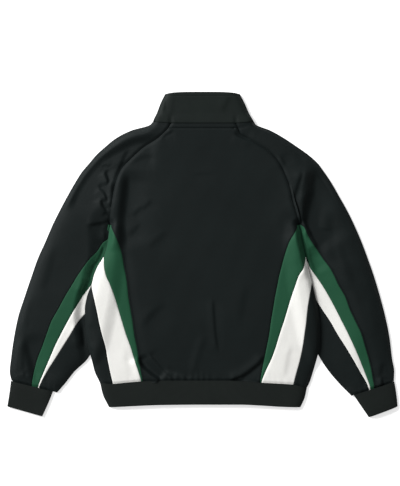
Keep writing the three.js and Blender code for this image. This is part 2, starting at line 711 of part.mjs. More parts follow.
function cuff(half) {
  const toFolds = polylinePair(half.cuff.outer, half.cuff.inner);
  const rise = (x, y) => 1 - Math.exp(-Math.max(toFolds(half.sign * x, y) - RIB_FOLD_RADIUS, 0) / BAND_REACH);
  const top = (x, y) => mix(2 * RIB_FOLD_RADIUS, CUFF_CROWN, rise(x, y));
  const layer = worldLayer(half, { top, low: () => 0, wall: RIB, radius: RIB_FOLD_RADIUS });
  const line = (points) => {
    const curve = new THREE.CatmullRomCurve3(points.map(([x, y]) => new THREE.Vector3(x, y, 0)));
    return (along) => curve.getPoint(along).toArray().slice(0, 2);
  };
  const outer = line(half.cuff.outer);
  const inner = line(half.cuff.inner);
  const rows = [0, 0.35, 0.7, 1].map((along) => {
    const drop = along === 0 ? HALF_GAP : 0;
    const [o, i] = [outer(along), inner(along)].map(([x, y]) => [x, y - drop]);
    const inward = towards([0, 0], [i[0] - o[0], i[1] - o[1]], 1);
    const outward = inward.map((value) => -value);
    const outerCentre = towards(o, i, layer.radius);
    const innerCentre = towards(i, o, layer.radius);
    const steps = [1, 2, 3, 4];
    return mirrored(half, [
      ...arcStations(layer, o, inward, 4).reverse(),
      ...steps.map((step) => topStation(layer, between(outerCentre, innerCentre, step / 5))),
      ...arcStations(layer, i, outward, 4),
      ...steps.map((step) => lowStation(layer, between(innerCentre, outerCentre, step / 5))),
    ]);
  });
  return wallGeometry(rows, true);
}

// A straight-sided bar that follows the zip's height from the hem to the slider
function zipBar(innerX, outerX, bottom, thick, sign) {
  const rising = [ZIP_LIFT_Y, 228, 250, 270, ZIP_LIFT_Y + ZIP_LIFT_LENGTH];
  const heights = [ZIP_BOTTOM, -100, 200, ...rising, 310, SLIDER.top - SLIDER.post - SEAM_GAP];
  const rows = heights.map((y) => {
    return [innerX, outerX].map((x) => {
      const z = zipLift(0, y) + bottom;
      return { out: [sign * x, y, z], in: [sign * x, y, z + thick] };
    });
  });
  return wallGeometry(rows);
}

const wasm = await Module();
wasm.setup();

function toManifold(geometry) {
  const bare = geometry.clone();
  bare.deleteAttribute("normal");
  bare.deleteAttribute("uv");
  const merged = mergeVertices(bare, 1e-4);
  const mesh = new wasm.Mesh({
    numProp: 3,
    vertProperties: new Float32Array(merged.attributes.position.array),
    triVerts: new Uint32Array(merged.index.array),
  });
  return new wasm.Manifold(mesh);
}

function fromManifold(solid) {
  const mesh = solid.getMesh();
  return solidGeometry(Array.from(mesh.vertProperties), Array.from(mesh.triVerts));
}

function boxGeometry([x0, y0, z0], [x1, y1, z1]) {
  const geometry = new THREE.BoxGeometry(x1 - x0, y1 - y0, z1 - z0);
  geometry.translate((x0 + x1) / 2, (y0 + y1) / 2, (z0 + z1) / 2);
  return geometry;
}

function rodAcross(radius, length) {
  const geometry = new THREE.CylinderGeometry(radius, radius, length, 16);
  geometry.rotateZ(Math.PI / 2);
  geometry.translate(0, HINGE.y, HINGE.z);
  return geometry;
}

// The slider: two plates joined by a post above the teeth, and a lug for the pull tab on the front face
function zipSlider() {
  const centre = ZIP_LIFT + ZIP_Z;
  const room = CHAIN.thick / 2 + SLIDER.gap;
  const low = centre - room - SLIDER.plate;
  const high = centre + room + SLIDER.plate;
  const bottom = SLIDER.top - SLIDER.length;
  const side = SLIDER.width / 2;
  const whole = toManifold(boxGeometry([-side, bottom, low], [side, SLIDER.top, high]));
  const channel = boxGeometry(
    [-side - 1, bottom - 1, centre - room], [side + 1, SLIDER.top - SLIDER.post, centre + room],
  );
  const lug = boxGeometry(
    [-LUG.width / 2, HINGE.y - LUG.length / 2, LUG.bottom],
    [LUG.width / 2, HINGE.y + LUG.length / 2, low + SLIDER.plate / 2],
  );
  const hole = toManifold(rodAcross(LUG.hole, LUG.width + 2));
  return fromManifold(whole.subtract(toManifold(channel)).add(toManifold(lug)).subtract(hole));
}

// The pull tab: a flat tongue whose forked end holds a pin through the slider's lug
function zipPullTab() {
  const side = TAB.width / 2;
  const arm = LUG.width / 2 + SEAM_GAP;
  const outline = new THREE.Shape([
    new THREE.Vector2(-arm, 1), new THREE.Vector2(-arm, -TAB.fork), new THREE.Vector2(arm, -TAB.fork),
    new THREE.Vector2(arm, 1), new THREE.Vector2(side, 1), new THREE.Vector2(side, 3 - TAB.length),
    new THREE.Vector2(side - 2, -TAB.length), new THREE.Vector2(2 - side, -TAB.length),
    new THREE.Vector2(-side, 3 - TAB.length), new THREE.Vector2(-side, 1),
  ]);
  const tongue = new THREE.ExtrudeGeometry(outline, { depth: TAB.thick, bevelEnabled: false });
  tongue.translate(0, HINGE.y, HINGE.z - TAB.thick / 2);
  return fromManifold(toManifold(tongue).add(toManifold(rodAcross(TAB.pin, TAB.width - 1))));
}

const jacket = new THREE.Group();
jacket.name = "track_jacket";

function add(name, geometry, material) {
  const mesh = new THREE.Mesh(geometry, material);
  mesh.name = name;
  jacket.add(mesh);
}

add("back_panel", backPanel(), black);
add("collar", collar(), black);
add("hem_band", hemBand(), rib);
for (const half of [LEFT, RIGHT]) {
  const { side } = half;
  const plain = { firstRow: TIP_ROW, count: 3 };
  const onBody = { ...plain, fold: half.fold, end: half.hemSeam, towardsCentre: true };
  const onArm = { ...plain, fold: half.inner, end: half.cuffSeam, towardsCentre: false };
  const body = (near, far, more) => foldPiece(half, BODY, { ...onBody, near, far, ...more });
  const arm = (near, far, more) => foldPiece(half, SLEEVE, { ...onArm, near, far, ...more });
  const bodyTip = { firstRow: BODY_WHITE_ROW };
  const armTip = { firstRow: ARM_WHITE_ROW };
  const round = { farBelow: true, count: 7 };
  add(`front_${side}`, frontPanel(half), black);
  add(`sleeve_${side}`, sleeve(half), black);
  add(`body_green_${side}`, body(half.greenSeam, half.whiteSeam), green);
  add(`body_white_${side}`, body(half.whiteSeam, half.sideSeam, bodyTip), white);
  add(`side_panel_${side}`, body(half.sideSeam, half.frontSeam, round), black);
  add(`sleeve_green_${side}`, arm(half.sleeveGreen, half.sleeveWhite), green);
  add(`sleeve_white_${side}`, arm(half.sleeveWhite, half.sleeveBlack, armTip), white);
  add(`undersleeve_${side}`, arm(half.sleeveBlack, half.sleeveFront, round), black);
  add(`cuff_${side}`, cuff(half), rib);
  add(`zip_tape_${side}`, zipBar(TAPE.inner, TAPE.outer, TAPE.bottom, TAPE.thick, half.sign), black);
}
add("zip_chain", zipBar(-CHAIN.width / 2, CHAIN.width / 2, ZIP_Z - CHAIN.thick / 2, CHAIN.thick, 1), metal);
add("zip_slider", zipSlider(), metal);
add("zip_pull_tab", zipPullTab(), metal);

export default jacket;
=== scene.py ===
# A track jacket laid flat, face down, with its back up, on a pale floor under soft studio light.
# The tables are in millimetres, in the frame's axes: +Y to the collar, +X to the photo's right, +Z up.
# Every cut piece is a fine wall of cloth on the form of its solid, with its folds, seams and stitches.
import math

import bpy
import numpy as np
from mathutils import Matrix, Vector


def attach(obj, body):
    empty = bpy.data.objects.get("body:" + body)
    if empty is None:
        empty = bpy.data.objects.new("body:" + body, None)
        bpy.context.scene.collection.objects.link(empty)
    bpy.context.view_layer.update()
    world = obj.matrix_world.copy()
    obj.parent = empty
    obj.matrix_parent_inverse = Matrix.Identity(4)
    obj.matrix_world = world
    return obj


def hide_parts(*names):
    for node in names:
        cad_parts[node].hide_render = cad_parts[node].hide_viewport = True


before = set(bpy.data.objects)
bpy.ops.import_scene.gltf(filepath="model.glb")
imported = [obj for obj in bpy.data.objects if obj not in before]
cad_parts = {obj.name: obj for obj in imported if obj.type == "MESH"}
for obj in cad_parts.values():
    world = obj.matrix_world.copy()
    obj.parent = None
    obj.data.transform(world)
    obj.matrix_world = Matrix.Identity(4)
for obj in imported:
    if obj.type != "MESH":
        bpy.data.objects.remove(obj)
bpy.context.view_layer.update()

MM = 0.001
BODY = "jacket"

# Walls, seams and folds, as in the solids
CLOTH = 1.5
RIB = 2.2
COLLAR_CLOTH = 2.6
HALF_GAP = 0.15
FOLD_RADIUS = 2.5
COLLAR_FOLD_RADIUS = 3.6
RIB_FOLD_RADIUS = 3.2
FOLD_HEIGHT = 2 * FOLD_RADIUS
BODY_CROWN = 15.0
NECK_CROWN = 15.5
HEM_CROWN = 12.0
CUFF_CROWN = 9.5
BODY_REACH = 7.0
SLEEVE_REACH = 11.0
BAND_REACH = 8.0
COLLAR_REACH = 5.0
NECK_REACH = 4.0
NECK_REACH_START = 280.0
COLLAR_BLEND = 26.0
COLLAR_STEP = 1.5
PRESS_START = 7.0
PRESS_REACH = 46.0
SLEEVE_PRESS_REACH = {"left": (22.0, 46.0), "right": (96.0, 120.0)}
PRESS_CHANGE = (-60.0, 130.0)
BODY_PRESSED = 11.5
OVER_SLEEVE_LIFT = FOLD_HEIGHT + 0.8
LIFT_MARGIN = 6.0
LIFT_RAMP = 34.0
LIFT_START = 72.0
TOP_LIFT_START = 92.0
LIFT_FULL = 59.0
ARMPIT_Y = 74.0
TIP_WIDTH = 1.6
FRONT_SEAM_INSET = 34.0
FOLD_SEAM_ANGLE = math.radians(25)
NECK_Y = 315.4
NECK_END_RISE = 4.6
COLLAR_TOP_Y = 390.5
COLLAR_END_FALL = 4.5
FRONT_NECK_DROP = 45.0
FRONT_COLLAR_DROP = 48.0
ZIP_EDGE = 6.5
ZIP_LIFT = 2.2
TAPE_INNER, TAPE_OUTER, TAPE_THICK, TAPE_BOTTOM = 2.4, 15.0, 0.7, 2.9
ZIP_BOTTOM_Y, ZIP_TOP_Y = -358.0, 336.7

# Levels down the jacket: the sections fan out from the neck above the first pair, and to the hem or
# cuff below the last one
TOP_LEVEL, BACK_FAN, FRONT_FAN, END_FAN, END_LEVEL = 320.0, 280.0, 228.0, -285.0, -320.0
NECK_CLOSE_LEVEL = 300.0
TIP_LEVEL = 72.0
BODY_WHITE_LEVEL = -5.0
ARM_WHITE_LEVEL = 24.0

NECK_STITCH_DROP = 12.0
COLLAR_EDGE_DROP = 10.0
COLLAR_GROOVE = (0.45, 1.2)
NECK_ENDS = {"left": 119.0, "right": 124.0}

# Where the crown changes towards the neck and the ends, and where the sheets clear the zip's slider
NECK_CROWN_FROM, NECK_CROWN_RUN = 180.0, 135.0
END_CROWN_FROM, END_CROWN_RUN = -150.0, 150.0
ZIP_LIFT_FROM, ZIP_LIFT_RUN, ZIP_LIFT_HALF, ZIP_LIFT_EDGE = 225.0, 60.0, 42.0, 30.0
SEAM_INSET_RUN = 90.0

# Grain of the fine meshes: spacings, widths that set a count of columns, and counts of rows and columns
FINE = 3.2
CLOSE = 1.3
CLOSE_RUN = 16.0
COARSE = 6.0
BACK_WIDTH = 430.0
FRONT_WIDTH = 235.0
CUFF_WIDTH = 104.0
SLEEVE_COLUMNS = (50, 26)
COLLAR_ROWS = 26
BAND_ROWS = 15
ABOVE_POINTS, BELOW_POINTS, RAGLAN_POINTS = 40, 60, 30
SEAM_ROLL = 0.9
SEAM_ROLL_STEPS = np.array([0.0, 0.5, 1.3, 2.8])

OUTLINE = {
    "columns": ["y", "left", "right"],
    "rows": [
        [320, 119, 124], [312, 126, 129], [308, 137, 139], [300, 168, 161], [280, 208, 197],
        [260, 233, 227], [240, 255, 255], [220, 272, 277], [200, 289, 292], [170, 308, 312],
        [140, 325, 329], [110, 341, 346], [74, 359, 364], [30, 378, 383], [-10, 396, 398],
        [-50, 410, 412], [-100, 427, 427], [-150, 443, 440], [-200, 453, 450], [-250, 460, 456],
        [-280, 463, 461], [-305, 458, 460],
    ],
}
RAGLAN = {
    "left": {
        "columns": ["y", "back", "front"],
        "rows": [
            [316, 75, 70], [305, 81, 74], [290, 95, 82], [276, 112, 96], [259, 140, 120],
            [247, 154, 138], [228, 174, 160], [205, 195, 180], [165, 210, 200], [132, 216, 211],
            [101, 220, 219], [74, 222, 222],
        ],
    },
    "right": {
        "columns": ["y", "back", "front"],
        "rows": [
            [316, 80, 74], [305, 85, 78], [290, 92, 84], [276, 114, 98], [259, 143, 122],
            [247, 162, 142], [228, 179, 164], [205, 193, 182], [165, 208, 202], [132, 215, 212],
            [101, 224, 224], [74, 230, 230],
        ],
    },
}
BODY_SEAMS = {
    "left": {
        "columns": ["y", "fold", "side", "white", "green"],
        "rows": [
            [74, 222, 230, 226, 222], [60, 224, 240, 230, 215], [30, 228, 262, 240, 201],
            [0, 236, 275, 237, 192], [-30, 253, 276, 235, 187], [-50, 261, 272, 230, 183],
            [-70, 266, 267, 221, 180], [-100, 277, 260, 210, 177], [-130, 282, 253, 201, 172],
            [-160, 281, 247, 192, 167], [-190, 279, 240, 183, 163], [-220, 274, 232, 172, 157],
            [-250, 266, 227, 163, 152], [-280, 259, 221, 153, 147], [-307, 246, 215, 146, 143],
            [-322, 240, 213, 145, 142],
        ],
    },
    "right": {
        "columns": ["y", "fold", "side", "white", "green"],
        "rows": [
            [74, 230, 245, 236, 230], [60, 234, 252, 240, 224], [30, 240, 265, 249, 207],
            [0, 247, 280, 248, 197], [-30, 254, 275, 242, 189], [-50, 259, 268, 230, 184],
            [-70, 264, 262, 223, 180], [-100, 271, 256, 213, 174], [-130, 277, 251, 204, 169],
            [-160, 281, 248, 195, 164], [-190, 282, 244, 185, 160], [-220, 281, 240, 176, 154],
            [-250, 274, 234, 165, 148], [-280, 266, 226, 151, 142], [-307, 257, 219, 141, 138],
            [-322, 249, 217, 139, 136],
        ],
    },
}
ARM_SEAMS = {
    "left": {
        "columns": ["y", "green", "white", "black", "inner"],
        "rows": [
            [74, 223, 221, 220, 222], [60, 224, 220, 218, 221], [45, 225, 219, 217, 219],
            [37, 228, 219, 217, 218], [30, 238, 219, 216, 218], [10, 251, 225, 216, 219],
            [-10, 270, 238, 217, 220], [-30, 285, 248, 221, 223], [-50, 299, 257, 230, 225],
            [-70, 311, 266, 240, 228], [-100, 329, 288, 255, 233], [-130, 345, 306, 272, 239],
            [-160, 362, 323, 298, 245], [-190, 373, 339, 316, 252], [-220, 384, 354, 335, 260],
            [-250, 396, 367, 354, 276], [-280, 404, 380, 373, 307], [-310, 409, 392, 389, 331],
            [-330, 411, 398, 396, 349],
        ],
    },
    "right": {
        "columns": ["y", "green", "white", "black", "inner"],
        "rows": [
            [74, 233, 228, 227, 230], [67, 243, 229, 227, 230], [60, 247, 229, 227, 230],
            [45, 254, 229, 227, 229], [30, 263, 229, 226, 229], [10, 277, 236, 226, 230],
            [-10, 290, 250, 227, 231], [-30, 305, 258, 231, 233], [-50, 316, 272, 243, 235],
            [-70, 325, 286, 252, 238], [-100, 342, 304, 268, 243], [-130, 353, 320, 287, 248],
            [-160, 367, 335, 307, 254], [-190, 381, 350, 324, 261], [-220, 390, 364, 343, 269],
            [-250, 399, 377, 361, 284], [-280, 406, 389, 378, 304], [-310, 411, 400, 395, 330],
            [-340, 417, 408, 405, 361],
        ],
    },
}
HEM_SEAM = {
    "columns": ["x", "y"],
    "rows": [
        [-250, -306], [-215, -309], [-181, -306], [-145, -303], [-102, -301], [66, -301],
        [102, -303], [138, -306], [217, -311], [255, -321],
    ],
}
HEM_FOLDS = {"columns": ["along", "left", "right"], "rows": [[0, 246, 251], [0.5, 239, 246], [1, 225, 236]]}
HEM_EDGE = {
    "columns": ["x", "y"],
    "rows": [
        [-226, -366], [-174, -363], [-102, -360], [0, -359], [90, -359], [138, -361], [186, -364],
        [237, -366],
    ],
}
COLLAR_FOLDS = {
    "columns": ["along", "left", "right"],
    "rows": [[0, 119, 124], [0.1, 116.5, 120], [0.32, 109.5, 112], [0.68, 100.5, 101.5], [1, 90, 90.5]],
}
CUFFS = {
    "left": {
        "seam": [[457, -303], [350, -330]],
        "outer": [[460, -302.6], [464, -334], [469, -364]],
        "inner": [[359, -327.7], [371, -358], [385, -388]],
    },
    "right": {
        "seam": [[460, -305], [352, -340]],
        "outer": [[461, -304.7], [466, -334], [469, -364]],
        "inner": [[363, -336.4], [379, -360], [400, -390.5]],
    },
}

# Folds and creases listed for the top sheets, each along its points. A fold is a soft step: a
# ridge on the right of its line's way and a trough on the left. A trough, or a ridge where its height is
# above 0, is even on both sides. half is the distance from the line to the top or bottom of a fold, or to
# where a trough or ridge is about a third as deep. All fade out over the last `fade` of both ends.
# The columns are name, height, half, fade and points.
FOLDS = [
    ("left shoulder", 4.6, 14, 36,
     [(-98, 281), (-124, 281), (-150, 277), (-174, 270), (-198, 257), (-222, 245), (-246, 228),
      (-265, 209), (-282, 187), (-299, 161), (-314, 130), (-326, 100)]),
    ("left armhole top", 1.3, 6, 16, [(-176, 256), (-188, 235), (-198, 208)]),
    ("left drag 1", 2.9, 3.8, 9, [(-236, 202), (-229, 187), (-224, 168)]),
    ("left drag 2", 2.4, 4, 12, [(-254, 163), (-239, 153), (-231, 140), (-228, 124)]),
    ("left drag 3", 3.0, 4.4, 10, [(-244, 136), (-239, 117), (-226, 101)]),
    ("left drag 4", 0.9, 3.2, 8, [(-217, 212), (-243, 216)]),
    ("left drag 5", 1.8, 4.4, 18, [(-224, 80), (-251, 75), (-280, 70)]),
    ("left drag 6", 1.0, 4, 10, [(-229, 56), (-236, 30)]),
    ("left back panel", 5.4, 13, 38,
     [(-184, 208), (-187, 164), (-191, 126), (-195, 88), (-195, 48), (-190, 8)]),
    ("left back drag 1", 0.8, 5, 14, [(-140, 120), (-170, 90)]),
    ("left back drag 2", 0.8, 5, 14, [(-118, 134), (-146, 105)]),
    ("left back drag 3", 0.8, 6, 16, [(-146, 78), (-178, 44)]),
    ("left back drag 4", 1.0, 8, 24, [(-106, 228), (-135, 236), (-182, 216)]),
    ("left back drag 5", 0.8, 9, 30, [(-80, 66), (-112, 36), (-130, 8)]),
    ("left back drag 6", 0.9, 10, 34, [(-80, -112), (-118, -140), (-148, -176)]),
    ("right sleeve", 6.6, 15, 36,
     [(262, 216), (258, 180), (257, 150), (255, 120), (251, 92), (252, 70), (262, 48), (276, 24), (290, 0)]),
    ("right sleeve edge", 2.4, 5, 20, [(250, 156), (244, 122), (242, 98), (244, 76), (252, 50)]),
    ("right sleeve drag", 1.4, 4.5, 18, [(240, 203), (227, 165), (217, 130)]),
    ("right armhole top", 1.1, 6, 14, [(184, 240), (193, 224), (199, 208)]),
    ("right armpit", 1.0, 3, 14, [(310, 57), (286, 62), (264, 68)]),
    ("right back drag 2", 0.7, 12, 40, [(110, -60), (96, -120), (92, -176)]),
    ("right neck", 1.0, 6, 12, [(72, 290), (96, 280), (118, 272)]),
    ("left neck", 0.8, 6, 10, [(-66, 296), (-84, 288), (-100, 280)]),
    ("back level", 0.35, 5, 24, [(38, 193), (0, 194), (-32, 193)]),
    ("back low", 1.1, 4, 26, [(25, -100), (28, -150), (32, -196), (39, -236)]),
    ("hem left", 5.6, 5.6, 14, [(-156, -242), (-147, -262), (-128, -280), (-106, -296), (-96, -303)]),
    ("hem left small", 1.6, 4, 14, [(-130, -234), (-108, -260), (-88, -282), (-64, -299)]),
    ("hem left curl", 1.0, 3.6, 10, [(-88, -276), (-66, -284), (-46, -290), (-36, -302)]),
    ("hem right", 2.7, 4.4, 18, [(148, -238), (138, -256), (120, -272), (98, -288), (78, -296), (62, -304)]),
    ("hem right small", 1.1, 3.6, 8, [(92, -300), (114, -302), (136, -305)]),
    ("left cuff 1", 3.2, 11, 30, [(-430, -190), (-421, -234), (-413, -262), (-409, -288), (-407, -312)]),
    ("left cuff 2", 1.1, 4, 12, [(-430, -276), (-424, -296)]),
    ("left cuff 3", 0.9, 7, 24, [(-434, -212), (-430, -252), (-432, -290)]),
    ("left cuff 4", 0.9, 7, 20, [(-366, -256), (-376, -286), (-382, -312)]),
    ("right cuff 1", 2.1, 4.4, 12, [(430, -290), (430, -312), (414, -322)]),
    ("right cuff 2", 1.4, 7, 20, [(434, -250), (428, -278), (424, -300)]),
    ("right cuff 3", 1.0, 7, 20, [(372, -256), (380, -288), (388, -318)]),
    ("left green dent 1", 2.3, 5, 12, [(-236, 24), (-246, -6), (-262, -28)]),
    ("left green dent 2", 2.2, 5, 10, [(-258, -18), (-270, -44), (-268, -60)]),
    ("left green dent 3", 2.2, 5, 12, [(-266, -56), (-282, -72), (-294, -96)]),
    ("left elbow 1", 0.9, 12, 34, [(-352, 30), (-366, -30), (-384, -92)]),
    ("left elbow 2", 0.9, 11, 34, [(-404, -92), (-418, -140), (-424, -190)]),
    ("right elbow 1", 1.2, 12, 34, [(322, 40), (344, -20), (366, -84)]),
    ("right elbow 2", 1.0, 11, 34, [(402, -100), (414, -150), (424, -204)]),
    ("left white", 0.7, 8, 26, [(-186, -222), (-180, -262), (-168, -298)]),
    ("right white", 0.8, 8, 26, [(214, -210), (204, -254), (196, -300)]),
    ("right green", 4.4, 10, 22, [(240, 62), (244, 36), (250, 10), (260, -18), (273, -50)]),
    ("right armpit shadow", 2.6, 6, 12, [(247, 86), (257, 62), (269, 40), (280, 18)]),
    ("right sleeve flat", 2.4, 18, 40, [(306, 118), (301, 66), (305, 14), (320, -46)]),
    ("left contact", 3.4, 7, 22, [(-290, -160), (-288, -190), (-285, -226)]),
    ("collar left 1", 0.9, 3.6, 12, [(-89, 380), (-91, 360), (-92, 338)]),
    ("collar left 2", 0.4, 7, 16, [(-70, 378), (-72, 350), (-76, 322)]),
    ("collar middle", 0.6, 7, 14, [(68, 384), (56, 360), (44, 340)]),
]
TROUGHS = [
    ("right neck crease", -2.6, 3.8, 12, [(76, 292), (92, 284), (112, 276)]),
    ("left neck crease", -1.1, 5, 12, [(-97, 280), (-82, 289), (-66, 296)]),
    ("right neck tail", -1.2, 2.4, 10, [(66, 302), (92, 305), (112, 312), (120, 317)]),
    ("left armhole seam", -1.8, 4.6, 14, [(-186, 226), (-198, 206), (-206, 188), (-212, 166), (-216, 140)]),
    ("right shoulder hollow", -1.4, 10, 22, [(206, 280), (230, 246), (246, 212)]),
    ("right armpit hollow", -1.5, 8, 16, [(252, 96), (249, 76), (256, 52)]),
    ("left armhole ridge", 1.2, 6, 30, [(-219, 184), (-221, 140), (-222, 96)]),
    ("left shoulder puff", 1.4, 9, 20, [(-206, 230), (-207, 205)]),
    ("right sleeve ridge", 1.3, 5, 24, [(251, 214), (243, 180), (237, 146), (233, 110)]),
    ("back light band 1", 0.7, 9, 26, [(-78, 66), (-104, 42), (-124, 20)]),
    ("back light band 2", 1.3, 10, 24, [(4, -186), (-8, -222), (-20, -262), (-22, -290)]),
    ("back light band 3", 0.7, 12, 30, [(-112, -118), (-132, -146), (-150, -178)]),
]

# Soft ridges on the lower sheets, which no one sees in the photo, like the ones on the top sheets
HIDDEN_RIDGES = [
    ("front left armhole", 2.4, 9, 40, [(-166, 196), (-176, 150), (-178, 104), (-172, 66)]),
    ("front left drag", 1.8, 7, 30, [(-184, 60), (-150, 34), (-112, 22), (-76, 26)]),
    ("front left chest", 1.4, 10, 46, [(-58, 206), (-78, 160), (-108, 118), (-140, 92)]),
    ("front left waist", 2.0, 9, 40, [(-192, -96), (-160, -142), (-122, -180), (-96, -228)]),
    ("front left hem", 2.2, 6, 20, [(-166, -226), (-150, -258), (-126, -282), (-98, -296)]),
    ("front left hem 2", 1.4, 5, 16, [(-74, -240), (-64, -268), (-58, -292)]),
    ("front right armhole", 2.2, 9, 36, [(172, 188), (184, 146), (186, 104), (180, 58)]),
    ("front right drag", 1.6, 8, 34, [(190, 30), (152, 10), (118, -8), (84, -40)]),
    ("front right chest", 1.5, 11, 40, [(66, 186), (90, 150), (112, 108), (116, 70)]),
    ("front right waist", 1.8, 9, 40, [(184, -130), (148, -168), (126, -212), (120, -250)]),
    ("front right hem", 2.0, 6, 18, [(156, -234), (136, -264), (108, -286), (84, -297)]),
    ("sleeve left shoulder", 1.8, 10, 36, [(-150, 252), (-196, 226), (-238, 186), (-262, 146)]),
    ("sleeve left elbow", 2.4, 9, 34, [(-300, 44), (-322, 6), (-336, -44), (-352, -96)]),
    ("sleeve left drag", 1.6, 7, 26, [(-268, 96), (-296, 84), (-330, 84)]),
    ("sleeve left cuff", 2.0, 7, 22, [(-416, -216), (-424, -252), (-422, -292)]),
    ("sleeve left cuff 2", 1.5, 6, 18, [(-372, -240), (-384, -272), (-388, -306)]),
    ("sleeve right shoulder", 1.8, 11, 38, [(160, 246), (206, 214), (246, 176), (266, 128)]),
    ("sleeve right elbow", 2.2, 10, 36, [(306, 30), (330, -14), (350, -70), (358, -120)]),
    ("sleeve right drag", 1.7, 7, 24, [(276, 90), (306, 74), (338, 70)]),
    ("sleeve right cuff", 1.9, 7, 24, [(420, -226), (426, -262), (420, -298)]),
    ("sleeve right cuff 2", 1.4, 6, 18, [(378, -262), (388, -288), (394, -312)]),
]


def ease(value):
    t = np.clip(value, 0, 1)
    return t * t * (3 - 2 * t)


def mix(a, b, share):
    return a + (b - a) * share


def curve_of(table, name):
    """A smooth curve through one column of a table, with no overshoot between its rows."""
    column = table["columns"].index(name)
    points = sorted((row[0], row[column]) for row in table["rows"])
    keys = np.array([p[0] for p in points], float)
    values = np.array([p[1] for p in points], float)
    slopes = np.diff(values) / np.diff(keys)
    tangents = np.empty_like(keys)
    tangents[0], tangents[-1] = slopes[0], slopes[-1]
    before, after = slopes[:-1], slopes[1:]
    same = before * after > 0
    total = np.where(same, before + after, 1)
    tangents[1:-1] = np.where(same, 2 * before * after / total, 0)

    def curve(at):
        i = np.clip(np.searchsorted(keys, at, side="left") - 1, 0, len(keys) - 2)
        width = keys[i + 1] - keys[i]
        t = np.clip((at - keys[i]) / width, 0, 1)
        a, b = values[i], values[i + 1]
        m, n = width * tangents[i], width * tangents[i + 1]
        return a + t * m + t**2 * (3 * (b - a) - 2 * m - n) + t**3 * (2 * (a - b) + m + n)

    return curve


def polyline(points):
    """Measures places from a line of points: the distance, how far along it the nearest point lies, and
    whether the place is on the left of the line's way (1) or on its right (-1)."""
    points = np.asarray(points, float)
    starts, steps = points[:-1], np.diff(points, axis=0)
    lengths = np.hypot(steps[:, 0], steps[:, 1])
    reached = np.concatenate([[0], np.cumsum(lengths)])

    def nearest(x, y):
        best = np.full(np.shape(x), np.inf)
        along = np.zeros(np.shape(x))
        side = np.ones(np.shape(x))
        for start, step, length, done in zip(starts, steps, lengths, reached):
            across_x, across_y = x - start[0], y - start[1]
            t = np.clip((across_x * step[0] + across_y * step[1]) / length**2, 0, 1)
            d = np.hypot(across_x - t * step[0], across_y - t * step[1])
            closer = d < best
            best = np.where(closer, d, best)
            along = np.where(closer, done + t * length, along)
            side = np.where(closer, np.sign(step[0] * across_y - step[1] * across_x), side)
        return best, along, side

    nearest.length = reached[-1]
    nearest.low = points.min(0)
    nearest.high = points.max(0)
    return nearest


def smoothed(points, steps=6):
    """A line through points with its corners rounded, as a Catmull-Rom curve."""
    points = np.asarray(points, float)
    ends = np.vstack([2 * points[0] - points[1], points, 2 * points[-1] - points[-2]])
    t = np.linspace(0, 1, steps, endpoint=False)[:, None]
    line = []
    for a, b, c, d in zip(ends, ends[1:], ends[2:], ends[3:]):
        bend = t**2 * (a - 2.5 * b + 2 * c - d / 2) + t**3 * (1.5 * (b - c) + (d - a) / 2)
        line.append(b + t * (c - a) / 2 + bend)
    return np.vstack([*line, points[-1:]])


hem_seam = curve_of(HEM_SEAM, "y")
hem_edge = curve_of(HEM_EDGE, "y")


def neck_share(x):
    return np.clip(x / np.where(np.asarray(x) < 0, NECK_ENDS["left"], NECK_ENDS["right"]), -1, 1)


def back_neck(x):
    return NECK_Y + NECK_END_RISE * neck_share(x) ** 6


def front_neck(x):
    return back_neck(x) - FRONT_NECK_DROP * (1 - neck_share(x) ** 2)


